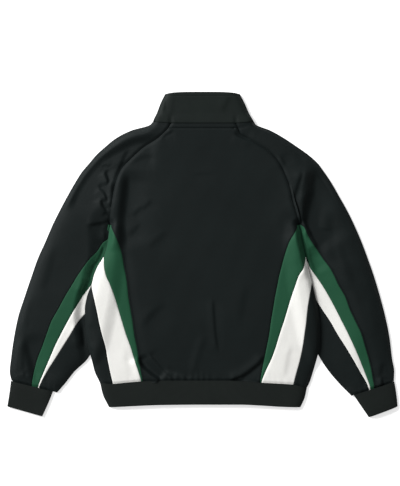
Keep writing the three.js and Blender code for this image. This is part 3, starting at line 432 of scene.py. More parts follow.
class Half:
    """One half of the jacket, with x counted away from the centre line."""

    def __init__(self, side):
        self.side = side
        self.sign = -1 if side == "left" else 1
        self.outer = curve_of(OUTLINE, side)
        self.raglan = curve_of(RAGLAN[side], "back")
        self.front_raglan = curve_of(RAGLAN[side], "front")
        self.fold = curve_of(BODY_SEAMS[side], "fold")
        self.side_seam = curve_of(BODY_SEAMS[side], "side")
        self.body_white = curve_of(BODY_SEAMS[side], "white")
        self.body_green = curve_of(BODY_SEAMS[side], "green")
        self.arm_green = curve_of(ARM_SEAMS[side], "green")
        self.arm_white = curve_of(ARM_SEAMS[side], "white")
        self.arm_black = curve_of(ARM_SEAMS[side], "black")
        self.arm_inner = curve_of(ARM_SEAMS[side], "inner")
        self.armpit_x = float(self.fold(ARMPIT_Y))
        (ax, ay), (bx, by) = CUFFS[side]["seam"]
        self.cuff_seam = lambda x: ay + (x - ax) * (by - ay) / (bx - ax)
        self.hem_seam = lambda x: hem_seam(self.sign * np.asarray(x, float))
        self.back_neck = lambda x: back_neck(self.sign * np.asarray(x, float))
        self.front_neck = lambda x: front_neck(self.sign * np.asarray(x, float))
        above = np.linspace(TOP_LEVEL, ARMPIT_Y, ABOVE_POINTS)
        below = np.linspace(ARMPIT_Y, END_LEVEL, BELOW_POINTS)
        whole = np.concatenate([above, below[1:]])
        self.to_outer = polyline(np.column_stack([self.outer(whole), whole]))
        self.to_outer_above = polyline(np.column_stack([self.outer(above), above]))
        self.to_fold = polyline(np.column_stack([self.fold(below), below]))
        self.to_inner = polyline(np.column_stack([self.inner(below), below]))
        down = np.linspace(NECK_Y, ARMPIT_Y, RAGLAN_POINTS)
        self.to_raglan = polyline(np.column_stack([self.raglan(down), down]))

    def inner(self, y):
        beside = self.fold(y) + 2 * HALF_GAP
        return np.where(np.asarray(y) > LIFT_FULL, beside, self.arm_inner(y))

    def green_seam(self, y):
        short = np.minimum(self.body_green(y), self.fold(y) - FOLD_RADIUS - TIP_WIDTH)
        return np.where(np.asarray(y) >= ARMPIT_Y, self.raglan(y), short)

    def white_seam(self, y):
        return np.maximum(self.body_white(y), self.green_seam(y) + TIP_WIDTH)

    def seam_inset(self, y):
        return FRONT_SEAM_INSET * ease((ARMPIT_Y - y) / SEAM_INSET_RUN) + FOLD_RADIUS + TIP_WIDTH

    def front_seam(self, y):
        inset = self.fold(y) - self.seam_inset(y)
        return np.where(np.asarray(y) >= ARMPIT_Y, self.front_raglan(y), inset)

    def sleeve_green(self, y):
        past = np.maximum(self.arm_green(y), self.inner(y) + FOLD_RADIUS + TIP_WIDTH)
        return np.where(np.asarray(y) >= ARMPIT_Y, self.raglan(y), past)

    def sleeve_white(self, y):
        return np.minimum(self.arm_white(y), self.sleeve_green(y) - TIP_WIDTH)

    def sleeve_black(self, y):
        return np.minimum(self.arm_black(y), self.sleeve_white(y) - TIP_WIDTH)

    def sleeve_front(self, y):
        inset = self.inner(y) + self.seam_inset(y)
        return np.where(np.asarray(y) >= ARMPIT_Y, self.front_raglan(y), inset)


LEFT, RIGHT = Half("left"), Half("right")


def by_side(x, function):
    """Works out a function of a half, x away from the centre and the places' mask, on both halves."""
    result = np.zeros(np.shape(x))
    for half in (LEFT, RIGHT):
        mask = (x < 0) if half is LEFT else (x >= 0)
        if mask.any():
            result[mask] = function(half, np.abs(x[mask]), mask)
    return result


def crown(height, distance, reach):
    rise = 1 - np.exp(-np.maximum(distance - FOLD_RADIUS, 0) / reach)
    return FOLD_HEIGHT + (height - FOLD_HEIGHT) * rise


def crown_height(y, end):
    up = mix(BODY_CROWN, NECK_CROWN, ease((y - NECK_CROWN_FROM) / NECK_CROWN_RUN))
    down = mix(BODY_CROWN, end, ease((END_CROWN_FROM - y) / END_CROWN_RUN))
    return np.where(y > NECK_CROWN_FROM, up, down)


def zip_lift(x, y):
    along = ease((y - ZIP_LIFT_FROM) / ZIP_LIFT_RUN)
    return ZIP_LIFT * along * ease((ZIP_LIFT_HALF - np.abs(x)) / ZIP_LIFT_EDGE)


def over_sleeve(x, y, start=LIFT_START):
    """How far the body's sheets are lifted where they lie over a sleeve."""
    def lift(half, away, mask):
        edge = half.inner(np.minimum(y[mask], LIFT_FULL))
        across = ease((away - edge + LIFT_MARGIN + LIFT_RAMP) / LIFT_RAMP)
        return OVER_SLEEVE_LIFT * across * ease((start - y[mask]) / (start - LIFT_FULL))

    return by_side(x, lift)


def crease_lines(table):
    return [(height, half, fade, polyline(smoothed(points))) for _, height, half, fade, points in table]


FOLD_LINES = crease_lines(FOLDS)
TROUGH_LINES = crease_lines(TROUGHS)
HIDDEN_LINES = crease_lines(HIDDEN_RIDGES)


# How much longer a fold takes to level out past its trough and past its ridge
TROUGH_RUN = 2.9
RIDGE_RUN = 2.4

# How many half-widths away a fold, and a trough, still shows
FOLD_SHOWS = 8
TROUGH_SHOWS = 3


def ends_eased(along, length, fade):
    return ease(along / fade) * ease((length - along) / fade)


def dip(distance, size):
    """How deep a trough is at a distance from its line. size holds its depth and half-width."""
    return size[0] * np.exp(-((distance / size[1]) ** 2))


def creases(x, y):
    """The height that the folds, troughs and ridges add at each place."""
    total = np.zeros(np.shape(x))
    for lines, stepped in ((FOLD_LINES, True), (TROUGH_LINES, False)):
        for height, half_width, fade, nearest in lines:
            reach = (FOLD_SHOWS if stepped else TROUGH_SHOWS) * half_width
            close = (
                (x > nearest.low[0] - reach) & (x < nearest.high[0] + reach)
                & (y > nearest.low[1] - reach) & (y < nearest.high[1] + reach)
            )
            if not close.any():
                continue
            distance, along, side = nearest(x[close], y[close])
            share = distance / half_width
            if stepped:
                beyond = np.maximum(share - 1, 0)
                share = np.minimum(share, 1) + beyond / np.where(side > 0, TROUGH_RUN, RIDGE_RUN)
                profile = -side * share * np.exp(0.5 - share**2 / 2)
            else:
                profile = np.exp(-(share**2))
            total[close] += height * ends_eased(along, nearest.length, fade) * profile
    return total


# The sheets sink a little towards the seams that are stitched down: depth and half-width
RAGLAN_DIP = (2.1, 4.2)
STRIP_DIP = (0.5, 3.5)
STRIP_DIP_RUN = 30.0
STEP_DIP = (1.8, 3.2)
STEP_SHIFT = 4.6
STEP_RUN = 4.0
STEP_DIP_RUN = 60.0
HEM_DIP = (2.0, 3.8)
CUFF_DIP = (3.2, 4.2)
NECK_DIP = (1.6, 1.9)
NECK_DIP_HALF = 78.0


def seam_dips(x, y):
    """How far the sheets sink along the raglan seams and the strips' seams. On the left of the back and
    on the right sleeve the strip stands over the black cloth beside it, in a step."""
    def dips(half, away, mask):
        at = y[mask]
        total = dip(half.to_raglan(away, at)[0], RAGLAN_DIP)
        for seam in (half.green_seam, half.white_seam, half.sleeve_white):
            total = total + dip(away - seam(at), STRIP_DIP) * ease((ARMPIT_Y - at) / STRIP_DIP_RUN)
        seam, way = (half.green_seam, -1) if half is LEFT else (half.sleeve_green, 1)
        across = way * (away - seam(at)) - STEP_SHIFT
        across = np.where(across > 0, across / STEP_RUN, across)
        return total + dip(across, STEP_DIP) * ease((ARMPIT_Y - at) / STEP_DIP_RUN)

    return by_side(x, dips)


# Long, shallow waves that keep a laid sheet from looking pressed: height, wavelength, heading, phase
WAVES = [(0.3, 210, 0.35, 0.4), (0.22, 150, 1.9, 2.1), (0.15, 96, 1.2, 4.0), (0.08, 61, 2.7, 1.3)]


def waves(x, y):
    total = np.zeros(np.shape(x))
    for height, length, heading, phase in WAVES:
        along = x * math.cos(heading) + y * math.sin(heading)
        total += height * np.sin(2 * math.pi * along / length + phase)
    return total


# Puckers where the cloth is drawn in to a rib. Their pitch sways and their height swells along the seam,
# in waves of a size, length and phase.
HEM_GATHER = {"reach": 16, "pitch": 17, "height": 0.45}
CUFF_GATHER = {"reach": 20, "pitch": 13, "height": 0.6}
SWAY = [(5, 31, 1.0), (3, 13, 0.0)]
SWELL = (0.4, 47, 2.0)
BODY_PUCKER_RUN = 20.0
SLEEVE_PUCKER_RUN = 16.0
RELIEF_RUN = 14.0
FREE_RUN = 12.0


def gathers(x, y, seam, reach, pitch, height):
    """Small uneven puckers above a seam, which fade out over their reach."""
    above = np.maximum(y - seam, 0)
    sway = sum(size * np.sin(x / length + phase) for size, length, phase in SWAY)
    size, length, phase = SWELL
    wave = np.sin(2 * math.pi * (x + sway) / pitch) * (1 - size + size * np.sin(x / length + phase))
    return height * wave * np.exp(-((above / reach) ** 2))


def relief(x, y, distance):
    """Everything that shapes a top sheet beyond its crown, fading to nothing at its folds."""
    return (creases(x, y) + waves(x, y) - seam_dips(x, y)) * ease((distance - FOLD_RADIUS) / RELIEF_RUN)


def hidden_creases(x, y):
    """The soft ridges of the sheets that lie on the floor. They stand up, so the rest stays flat."""
    total = np.zeros(np.shape(x))
    for height, half_width, fade, nearest in HIDDEN_LINES:
        distance, along, _ = nearest(x, y)
        ridge = dip(distance, (height, half_width)) * ends_eased(along, nearest.length, fade)
        total = np.maximum(total, ridge)
    return total


def body_low(x, y):
    return over_sleeve(x, y) + zip_lift(x, y) + hidden_creases(x, y)


def sleeve_low(x, y):
    return hidden_creases(x, y)


# A top sheet stays at least this far above the outside of the sheet below it, and eases into that
LEAST_HEIGHT = 4.0
CLEAR_SOFTNESS = 0.5


def kept_clear(top, low):
    spare = (top - low - LEAST_HEIGHT) / CLEAR_SOFTNESS
    return low + LEAST_HEIGHT + CLEAR_SOFTNESS * np.logaddexp(0, spare)


def body_top(x, y):
    def height(half, away, mask):
        across, at = x[mask], y[mask]
        distance = np.minimum(half.to_fold(away, at)[0], half.to_outer_above(away, at)[0])
        from_armpit = np.hypot(away - half.armpit_x, at - ARMPIT_Y)
        pressed = ease((from_armpit - PRESS_START) / PRESS_REACH)
        top = crown(mix(BODY_PRESSED, crown_height(at, HEM_CROWN), pressed), distance, BODY_REACH)
        seam = hem_seam(across)
        pucker = gathers(across, at, seam, **HEM_GATHER) - dip(at - seam, HEM_DIP)
        from_stitches = back_neck(across) - NECK_STITCH_DROP - at
        pucker = pucker - dip(from_stitches, NECK_DIP) * (np.abs(across) < NECK_DIP_HALF)
        return top + relief(across, at, distance) + pucker * ease(distance / BODY_PUCKER_RUN)

    return kept_clear(by_side(x, height) + over_sleeve(x, y, TOP_LIFT_START), body_low(x, y))


def sleeve_top(x, y):
    def height(half, away, mask):
        at = y[mask]
        distance = np.minimum(half.to_outer(away, at)[0], half.to_inner(away, at)[0])
        from_armpit = np.hypot(away - half.armpit_x, at - ARMPIT_Y)
        beside = np.where(at > ARMPIT_Y, from_armpit, away - half.fold(at)) - PRESS_START
        low_reach, high_reach = SLEEVE_PRESS_REACH[half.side]
        reach = mix(low_reach, high_reach, ease((at - PRESS_CHANGE[0]) / PRESS_CHANGE[1]))
        full = mix(FOLD_HEIGHT, crown_height(at, CUFF_CROWN), ease(beside / reach))
        to_neck = ease((at - NECK_REACH_START) / (NECK_Y - NECK_REACH_START))
        top = crown(full, distance, mix(SLEEVE_REACH, NECK_REACH, to_neck))
        seam = half.cuff_seam(away)
        pucker = gathers(away, at, seam, **CUFF_GATHER) - dip(at - seam, CUFF_DIP)
        free = ease((beside + PRESS_START) / FREE_RUN)
        shaped = relief(x[mask], at, distance) + pucker * ease(distance / SLEEVE_PUCKER_RUN)
        return top + shaped * free

    return kept_clear(by_side(x, height), sleeve_low(x, y))


def flat(x, y):
    return np.zeros(np.shape(x))


BODY_LAYER = {"top": body_top, "low": body_low, "wall": CLOTH, "radius": FOLD_RADIUS}
SLEEVE_LAYER = {"top": sleeve_top, "low": sleeve_low, "wall": CLOTH, "radius": FOLD_RADIUS}


# Where the seams that run across the jacket are looked for, in as many halvings
NECK_SEARCH_BELOW, NECK_HIGHEST = 8.0, 330.0
END_LOWEST, END_HIGHEST = -350.0, -290.0
HALVINGS = 40


def meeting(curve, across, low, high):
    """The height at which a seam that runs down the garment crosses a seam that runs across it."""
    for _ in range(HALVINGS):
        middle = (low + high) / 2
        if across(curve(middle)) > middle:
            low = middle
        else:
            high = middle
    return (low + high) / 2


def to_end(levels):
    """How far each level is down the fan at the hem or cuff, from 0 to 1."""
    return np.clip((END_FAN - levels) / (END_FAN - END_LEVEL), 0, 1)


def fanned(curve, levels, start, end, fan=BACK_FAN):
    """Points down a seam or fold, one for each level, from the cross seam it starts on to the one below."""
    y = np.array(levels, float)
    if start is not None:
        top = meeting(curve, start, fan - NECK_SEARCH_BELOW, NECK_HIGHEST) - HALF_GAP
        y = np.where(levels > fan, mix(top, fan, (TOP_LEVEL - levels) / (TOP_LEVEL - fan)), y)
    low = meeting(curve, end, END_LOWEST, END_HIGHEST) + HALF_GAP
    y = np.where(levels < END_FAN, mix(END_FAN, low, to_end(levels)), y)
    return np.column_stack([curve(y), y])


def level_steps(first, spacing, close_above=None):
    """Levels down a piece, close together beside the hem or cuff, and beside the neck if it is reached."""
    low, high = END_LEVEL + CLOSE_RUN, first
    levels = [np.arange(END_LEVEL, low, CLOSE)]
    if close_above is not None:
        levels.append(np.arange(first, close_above, -CLOSE)[::-1])
        high = close_above
    levels.insert(1, np.linspace(low, high, int((high - low) / spacing) + 1))
    return np.unique(np.concatenate([*levels, [first]]))[::-1]


def seam_spaced(width, inner_count, rolled=(True, True)):
    """Distances across a run, close together beside its seams. width holds one number for each row."""
    squeeze = np.minimum(1, width / (4 * SEAM_ROLL_STEPS[-1]))[:, None]
    near = SEAM_ROLL_STEPS[None, :] * squeeze
    far = width[:, None] - SEAM_ROLL_STEPS[None, ::-1] * squeeze
    if not rolled[0]:
        near = near[:, :1]
    if not rolled[1]:
        far = far[:, -1:]
    shares = np.linspace(0, 1, inner_count + 2)[None, 1:-1]
    between = near[:, -1:] + (far[:, :1] - near[:, -1:]) * shares
    return np.hstack([near, between, far])


def roll_at(distance):
    """How far a piece's edge rolls in towards its seam, for a distance from the seam."""
    reach = SEAM_ROLL_STEPS[-1]
    inside = np.clip(1 - distance / reach, 0, 1)
    return SEAM_ROLL * (1 - np.sqrt(1 - 0.96 * inside**2))


def run_grid(a, b, inner_count, start=None, end=None, fan=BACK_FAN, levels=None, rolled=(True, True)):
    """A grid of places between two rows of points, set on the cross seams in its first and last rows."""
    step = b - a
    width = np.hypot(step[:, 0], step[:, 1])
    across = seam_spaced(width, inner_count, rolled)
    share = across / width[:, None]
    x = a[:, :1] + step[:, :1] * share
    y = a[:, 1:] + step[:, 1:] * share
    if start is not None:
        weight = np.clip((levels - fan) / (TOP_LEVEL - fan), 0, 1)[:, None] ** 2
        y = y + weight * (start(x[:1]) - HALF_GAP - y[:1])
    if end is not None:
        y = y + to_end(levels)[:, None] ** 2 * (end(x[-1:]) + HALF_GAP - y[-1:])
    roll = np.zeros_like(across)
    if rolled[0]:
        roll = np.maximum(roll, roll_at(across))
    if rolled[1]:
        roll = np.maximum(roll, roll_at(width[:, None] - across))
    return {"x": x, "y": y, "roll": roll, "angle": np.full_like(x, math.pi / 2)}


def with_angle(grid, angle):
    grid["angle"] = np.full_like(grid["x"], angle)
    return grid


def trimmed(grid, first, last):
    return {key: value[:, first:last] for key, value in grid.items()}


def joined(grids):
    return {key: np.hstack([grid[key] for grid in grids]) for key in ("x", "y", "roll", "angle", "nx", "ny")}


def with_inward(grid, inward):
    shape = grid["x"].shape
    grid["nx"] = np.broadcast_to(inward[:, :1], shape)
    grid["ny"] = np.broadcast_to(inward[:, 1:], shape)
    return grid


def inward_normals(curve, y, towards_centre):
    slope = (curve(y + 2) - curve(y - 2)) / 4
    length = np.hypot(1, slope)
    flip = -1 if towards_centre else 1
    return np.column_stack([flip / length, -flip * slope / length])


def arc_grid(centre, angles):
    """Places round a fold: all at its centre, turned through the angles."""
    shape = (len(centre), angles.shape[-1])
    return {
        "x": np.broadcast_to(centre[:, :1], shape),
        "y": np.broadcast_to(centre[:, 1:], shape),
        "roll": np.zeros(shape),
        "angle": np.broadcast_to(angles, shape),
    }


def wall_points(grid, layer, sign=1, ribs=None):
    """The outer and inner faces' points from a grid of places and turns."""
    x = sign * grid["x"]
    nx = sign * grid["nx"]
    top = layer["top"](x, grid["y"])
    low = layer["low"](x, grid["y"])
    middle, rise = (top + low) / 2, (top - low) / 2
    cos, sin = np.cos(grid["angle"]), np.sin(grid["angle"])
    cut = grid["roll"] + (0 if ribs is None else ribs)

    def face(radius, height):
        place = [x - nx * radius * cos, grid["y"] - grid["ny"] * radius * cos, middle + height * sin]
        return np.stack(place, -1)

    outer = face(layer["radius"] - cut, rise - cut)
    inner = face(layer["radius"] - layer["wall"], rise - layer["wall"])
    return outer, inner


def wall_faces(rows, columns, closed):
    """Quads of a closed wall: two faces and the rims round its edges."""
    c = np.arange(columns if closed else columns - 1)
    r = np.arange(rows - 1)
    row, column = np.meshgrid(r, c, indexing="ij")
    beyond = (column + 1) % columns
    a, b = row * columns + column, row * columns + beyond
    d, e = a + columns, b + columns
    size = rows * columns
    quads = [np.stack([a, d, e, b], -1).reshape(-1, 4)]
    quads.append(np.stack([a + size, b + size, e + size, d + size], -1).reshape(-1, 4))
    after = (c + 1) % columns
    end = (rows - 1) * columns
    quads.append(np.stack([c, after, after + size, c + size], -1))
    quads.append(np.stack([end + c, end + c + size, end + after + size, end + after], -1))
    if not closed:
        first, following = r * columns, (r + 1) * columns
        quads.append(np.stack([first, first + size, following + size, following], -1))
        first, following = first + columns - 1, following + columns - 1
        quads.append(np.stack([first, following, following + size, first + size], -1))
    return np.vstack(quads)


def signed_volume(points, quads):
    a, b, c, d = (points[quads[:, i]] for i in range(4))
    total = np.einsum("ij,ij->i", a, np.cross(b, c)) + np.einsum("ij,ij->i", a, np.cross(c, d))
    return total.sum()


def developed(outer):
    """Distances across and down a piece, as its cloth lies when it is cut."""
    across = np.zeros(outer.shape[:2])
    across[:, 1:] = np.cumsum(np.linalg.norm(np.diff(outer, axis=1), axis=-1), axis=1)
    middle = outer[:, outer.shape[1] // 2]
    down = np.concatenate([[0], np.cumsum(np.linalg.norm(np.diff(middle, axis=0), axis=-1))])
    across = across - across[:, -1:] / 2
    return across, np.broadcast_to(down[:, None], across.shape)


def flat_cut(outer):
    """A piece's width, length and area, laid out flat, in metres."""
    across, down = developed(outer)
    widths = across[:, -1] - across[:, 0]
    lengths = np.linalg.norm(np.diff(outer, axis=0), axis=-1).sum(0)
    steps = np.linalg.norm(np.diff(outer, axis=0), axis=-1).mean(1)
    area = (steps * (widths[1:] + widths[:-1]) / 2).sum()
    width, length = widths.max(), lengths.max()
    return (width * MM, length * MM), min(area, width * length) * MM * MM


def make_object(name, points, faces, material, smooth_angle=50):
    mesh = bpy.data.meshes.new(name)
    mesh.from_pydata((points * MM).tolist(), [], faces.tolist() if hasattr(faces, "tolist") else faces)
    mesh.shade_smooth()
    mesh.set_sharp_from_angle(angle=math.radians(smooth_angle))
    mesh.materials.append(material)
    piece = bpy.data.objects.new(name, mesh)
    bpy.context.scene.collection.objects.link(piece)
    return piece


def set_uv(piece, coordinates):
    mesh = piece.data
    layer = mesh.uv_layers.new(name="cut")
    index = np.empty(len(mesh.loops), int)
    mesh.loops.foreach_get("vertex_index", index)
    layer.data.foreach_set("uv", (coordinates[index] * MM).astype(np.float32).ravel())


# The turns at which a band's rounded edge has its rows
EDGE_TURNS = np.radians([25, 50, 70, 84])


def rounded_rows(outer, inner):
    """Adds rows that round a band's last edge over from its outer to its inner face."""
    middle, half = (outer[-1] + inner[-1]) / 2, (outer[-1] - inner[-1]) / 2
    on = outer[-1] - outer[-2]
    on = on / np.linalg.norm(on, axis=-1, keepdims=True)
    thick = np.linalg.norm(half, axis=-1, keepdims=True)
    more_outer, more_inner = [], []
    for turn in EDGE_TURNS:
        edge = on * thick * math.sin(turn)
        more_outer.append(middle + half * math.cos(turn) + edge)
        more_inner.append(middle - half * math.cos(turn) + edge)
    return np.concatenate([outer, more_outer]), np.concatenate([inner, more_inner])


def sheet_mesh(name, outer, inner, material, closed=False):
    """A closed wall between two faces of cloth, with the way that it is cut as its UV map."""
    points = np.vstack([outer.reshape(-1, 3), inner.reshape(-1, 3)])
    quads = wall_faces(*outer.shape[:2], closed)
    if signed_volume(points, quads) < 0:
        quads = quads[:, ::-1]
    piece = make_object(name, points, quads, material)
    across, down = developed(outer)
    flat_uv = np.stack([across.ravel(), down.ravel()], -1)
    set_uv(piece, np.vstack([flat_uv, flat_uv]))
    return piece


def cloth_piece(node, faces, material, slot, closed=False, rounded=False):
    outer, inner = faces
    cut, area = flat_cut(outer)
    if rounded:
        outer, inner = rounded_rows(outer, inner)
    piece = sheet_mesh(node + "_cloth", outer, inner, material, closed)
    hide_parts(node)
    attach(piece, BODY)
    return piece


def back_panel(material):
    levels = level_steps(TOP_LEVEL, FINE, NECK_CLOSE_LEVEL)
    ends = []
    for half in (LEFT, RIGHT):
        line = fanned(half.green_seam, levels, half.back_neck, half.hem_seam)
        line[:, 0] = half.sign * (line[:, 0] - HALF_GAP)
        ends.append(line)
    grid = run_grid(*ends, int(BACK_WIDTH / FINE), back_neck, hem_seam, levels=levels)
    grid = with_inward(grid, np.tile([[1.0, 0.0]], (len(levels), 1)))
    points = wall_points(grid, BODY_LAYER)
    return cloth_piece("back_panel", points, material, "black_cloth")


def front_panel(half, material):
    levels = level_steps(TOP_LEVEL, COARSE)
    seam = fanned(half.front_seam, levels, half.front_neck, half.hem_seam, FRONT_FAN)
    seam[:, 0] -= HALF_GAP
    edge = fanned(lambda y: np.full(np.shape(y), ZIP_EDGE), levels, half.front_neck, half.hem_seam, FRONT_FAN)
    columns = int(FRONT_WIDTH / COARSE)
    grid = run_grid(seam, edge, columns, half.front_neck, half.hem_seam, FRONT_FAN, levels)
    grid = with_inward(with_angle(grid, -math.pi / 2), np.tile([[-1.0, 0.0]], (len(levels), 1)))
    points = wall_points(grid, BODY_LAYER, half.sign)
    return cloth_piece(f"front_{half.side}", points, material, "black_cloth")


ARC_STEPS = 9


def moved_towards(points, target, distance):
    step = target - points
    return points + step / np.hypot(step[:, 0], step[:, 1])[:, None] * distance


def sleeve(half, material):
    """The raglan sleeve runs from its back seam over the outer fold to its front seam."""
    levels = level_steps(TOP_LEVEL, FINE)
    edge = fanned(half.outer, levels, half.back_neck, half.cuff_seam)
    inward = inward_normals(half.outer, edge[:, 1], True)
    centre = edge + inward * FOLD_RADIUS
    back = fanned(half.sleeve_green, levels, half.back_neck, half.cuff_seam)
    front = fanned(half.sleeve_front, levels, half.front_neck, half.cuff_seam, FRONT_FAN)
    back = moved_towards(back, centre, HALF_GAP)
    front = moved_towards(front, centre, HALF_GAP)
    above, below = SLEEVE_COLUMNS
    upper = run_grid(back, centre, above, half.back_neck, half.cuff_seam, BACK_FAN, levels, (True, False))
    lower = run_grid(centre, front, below, half.front_neck, half.cuff_seam, FRONT_FAN, levels, (False, True))
    turns = np.linspace(math.pi / 2, -math.pi / 2, ARC_STEPS)[None, :]
    lower = trimmed(with_angle(lower, -math.pi / 2), 1, None)
    grids = [trimmed(upper, 0, -1), arc_grid(centre, turns), lower]
    grid = joined([with_inward(part, inward) for part in grids])
    points = wall_points(grid, SLEEVE_LAYER, half.sign)
    return cloth_piece(f"sleeve_{half.side}", points, material, "black_cloth")


HALF_TURN = math.pi * FOLD_RADIUS
FOLD_SEAM = (math.pi / 2 - FOLD_SEAM_ANGLE) * FOLD_RADIUS
TURN_COLUMNS = 7.0
ROLL_SHARE = 0.04
ROLL_FADE = 8.0


def to_columns(position, spacing):
    on_top = np.minimum(position, 0) / spacing
    on_arc = TURN_COLUMNS * np.clip(position, 0, HALF_TURN) / HALF_TURN
    return on_top + on_arc + np.maximum(position - HALF_TURN, 0) / spacing


def from_columns(columns, spacing):
    on_top = np.minimum(columns, 0) * spacing
    on_arc = HALF_TURN * np.clip(columns, 0, TURN_COLUMNS) / TURN_COLUMNS
    return on_top + on_arc + np.maximum(columns - TURN_COLUMNS, 0) * spacing


def fold_piece(half, node, near, far, material, slot, arm, first, count, far_below):
    """A piece beside or round a fold. A seam that would pass the fold runs along it instead."""
    layer = SLEEVE_LAYER if arm else BODY_LAYER
    fold = half.inner if arm else half.fold
    end = half.cuff_seam if arm else half.hem_seam
    levels = level_steps(first, FINE)
    edge = fanned(fold, levels, None, end)
    inward = inward_normals(fold, edge[:, 1], not arm)
    centre = edge + inward * FOLD_RADIUS
    near_line = fanned(near, levels, None, end)
    far_line = fanned(far, levels, None, end)

    def reach(line):
        room = (line[:, 0] - centre[:, 0]) * np.sign(inward[:, 0])
        distance = np.hypot(*(line - centre).T)
        return np.where(room > 0, -distance, np.minimum(-room, FOLD_SEAM))

    start = reach(near_line) + HALF_GAP
    stop = HALF_TURN - reach(far_line) - HALF_GAP if far_below else reach(far_line) - HALF_GAP
    shares = np.linspace(0, 1, count + 1)
    rolls = SEAM_ROLL_STEPS / SEAM_ROLL_STEPS[-1] * ROLL_SHARE
    shares = np.unique(np.concatenate([shares, rolls, 1 - rolls]))[None, :]
    columns = mix(to_columns(start, FINE)[:, None], to_columns(stop, FINE)[:, None], shares)
    position = from_columns(columns, FINE)
    flat_run = (stop < 0)[:, None]
    straight = mix(start[:, None], stop[:, None], shares)
    position = np.where(flat_run, straight, position)

    def direction(line):
        step = line - centre
        return step / np.maximum(np.hypot(step[:, 0], step[:, 1]), 1e-6)[:, None]

    near_way, far_way = direction(near_line), direction(far_line)
    on_top = -np.minimum(position, 0)
    below = np.maximum(position - HALF_TURN, 0) if far_below else np.zeros_like(position)
    x = centre[:, :1] + near_way[:, :1] * on_top + far_way[:, :1] * below
    y = centre[:, 1:] + near_way[:, 1:] * on_top + far_way[:, 1:] * below
    near_end = moved_towards(near_line, far_line, HALF_GAP)
    far_end = moved_towards(far_line, near_line, HALF_GAP)
    x = np.where(flat_run, mix(near_end[:, :1], far_end[:, :1], shares), x)
    y = np.where(flat_run, mix(near_end[:, 1:], far_end[:, 1:], shares), y)
    y = y + to_end(levels)[:, None] ** 2 * (end(x[-1:]) + HALF_GAP - y[-1:])
    angle = math.pi / 2 - np.clip(position, 0, HALF_TURN) / FOLD_RADIUS
    width = (stop - start)[:, None]
    roll = np.maximum(roll_at(shares * width), roll_at((1 - shares) * width))
    roll = roll * np.clip(width / ROLL_FADE, 0, 1)
    grid = with_inward({"x": x, "y": y, "roll": roll, "angle": angle}, inward)
    points = wall_points(grid, layer, half.sign)
    return cloth_piece(f"{node}_{half.side}", points, material, slot)


def band_top(radius, height, reach, fold_at):
    def top(x, y):
        distance = np.maximum(fold_at(x, y) - np.abs(x) - radius, 0)
        return mix(2 * radius, height, 1 - np.exp(-distance / reach))

    return top


def by_fold(left, right, share_of):
    return lambda x, y: np.where(x < 0, left(share_of(x, y)), right(share_of(x, y)))


def open_band_grid(layer, alongs, place, spacing):
    """A band that goes round the neck or the hips and opens at the zip."""
    rows = []
    widest = abs(float(place(0.5, 1, False)[0]))
    front_count, back_count = int(widest / spacing), int(2 * widest / spacing)
    for along in alongs:
        width = {sign: abs(float(place(along, sign, False)[0])) for sign in (-1, 1)}
        inset = {sign: sign * (1 - layer["radius"] / width[sign]) for sign in (-1, 1)}
        gap = {sign: sign * ZIP_EDGE / width[sign] for sign in (-1, 1)}
        row = {key: [] for key in ("x", "y", "angle", "nx")}

        def add(shares, front, angle, nx):
            x, y = place(along, shares, front)
            row["x"].append(x)
            row["y"].append(y)
            row["angle"].append(np.broadcast_to(angle, x.shape))
            row["nx"].append(np.full(x.shape, nx))

        turns = np.linspace(-math.pi / 2, math.pi / 2, ARC_STEPS)
        add(np.linspace(gap[-1], inset[-1], front_count + 1)[:-1], True, -math.pi / 2, 1.0)
        add(np.full(ARC_STEPS, inset[-1]), False, turns, 1.0)
        add(np.linspace(inset[-1], inset[1], back_count + 1)[1:-1], False, math.pi / 2, 1.0)
        add(np.full(ARC_STEPS, inset[1]), False, turns[::-1], -1.0)
        add(np.linspace(inset[1], gap[1], front_count + 1)[1:], True, -math.pi / 2, -1.0)
        rows.append({key: np.concatenate(value) for key, value in row.items()})
    grid = {key: np.stack([row[key] for row in rows]) for key in rows[0]}
    grid["ny"] = np.zeros_like(grid["nx"])
    grid["roll"] = np.zeros_like(grid["nx"])
    return grid


# Rows beside the groove, and the least height of a collar that is sewn to a thin edge
GROOVE_ROWS = np.linspace(-4, 4, 9)
LEAST_COLLAR = 2 * COLLAR_FOLD_RADIUS - 0.4


def collar_surface():
    left, right = curve_of(COLLAR_FOLDS, "left"), curve_of(COLLAR_FOLDS, "right")
    foot = NECK_Y + NECK_END_RISE

    def share_of(x, y):
        return (y - foot) / (COLLAR_TOP_Y - COLLAR_END_FALL - foot)

    base = band_top(COLLAR_FOLD_RADIUS, NECK_CROWN, COLLAR_REACH, by_fold(left, right, share_of))

    def top(x, y):
        groove = dip(COLLAR_TOP_Y - COLLAR_EDGE_DROP - y, COLLAR_GROOVE)
        own = base(x, y) + 0.5 * waves(1.3 * x, 1.3 * y) + creases(x, y) - groove
        seam = back_neck(x)
        on_back = (x > -LEFT.raglan(NECK_Y)) & (x < RIGHT.raglan(NECK_Y))
        sewn_to = np.where(on_back, body_top(x, seam), sleeve_top(x, seam))
        height = mix(sewn_to + COLLAR_STEP, own, ease((y - seam) / COLLAR_BLEND))
        return np.maximum(height, LEAST_COLLAR)

    def place(along, share, front):
        share = np.asarray(share, float)
        x = share * np.where(share < 0, left(along), right(along))
        seam = NECK_Y + NECK_END_RISE * share**6 + HALF_GAP
        edge = COLLAR_TOP_Y - COLLAR_CLOTH / 2 - COLLAR_END_FALL * share**4
        drop = mix(FRONT_NECK_DROP, FRONT_COLLAR_DROP, along) * (1 - share**2) if front else 0
        return x, mix(seam, edge, along) - drop

    layer = {"top": top, "low": zip_lift, "wall": COLLAR_CLOTH, "radius": COLLAR_FOLD_RADIUS}
    return layer, place


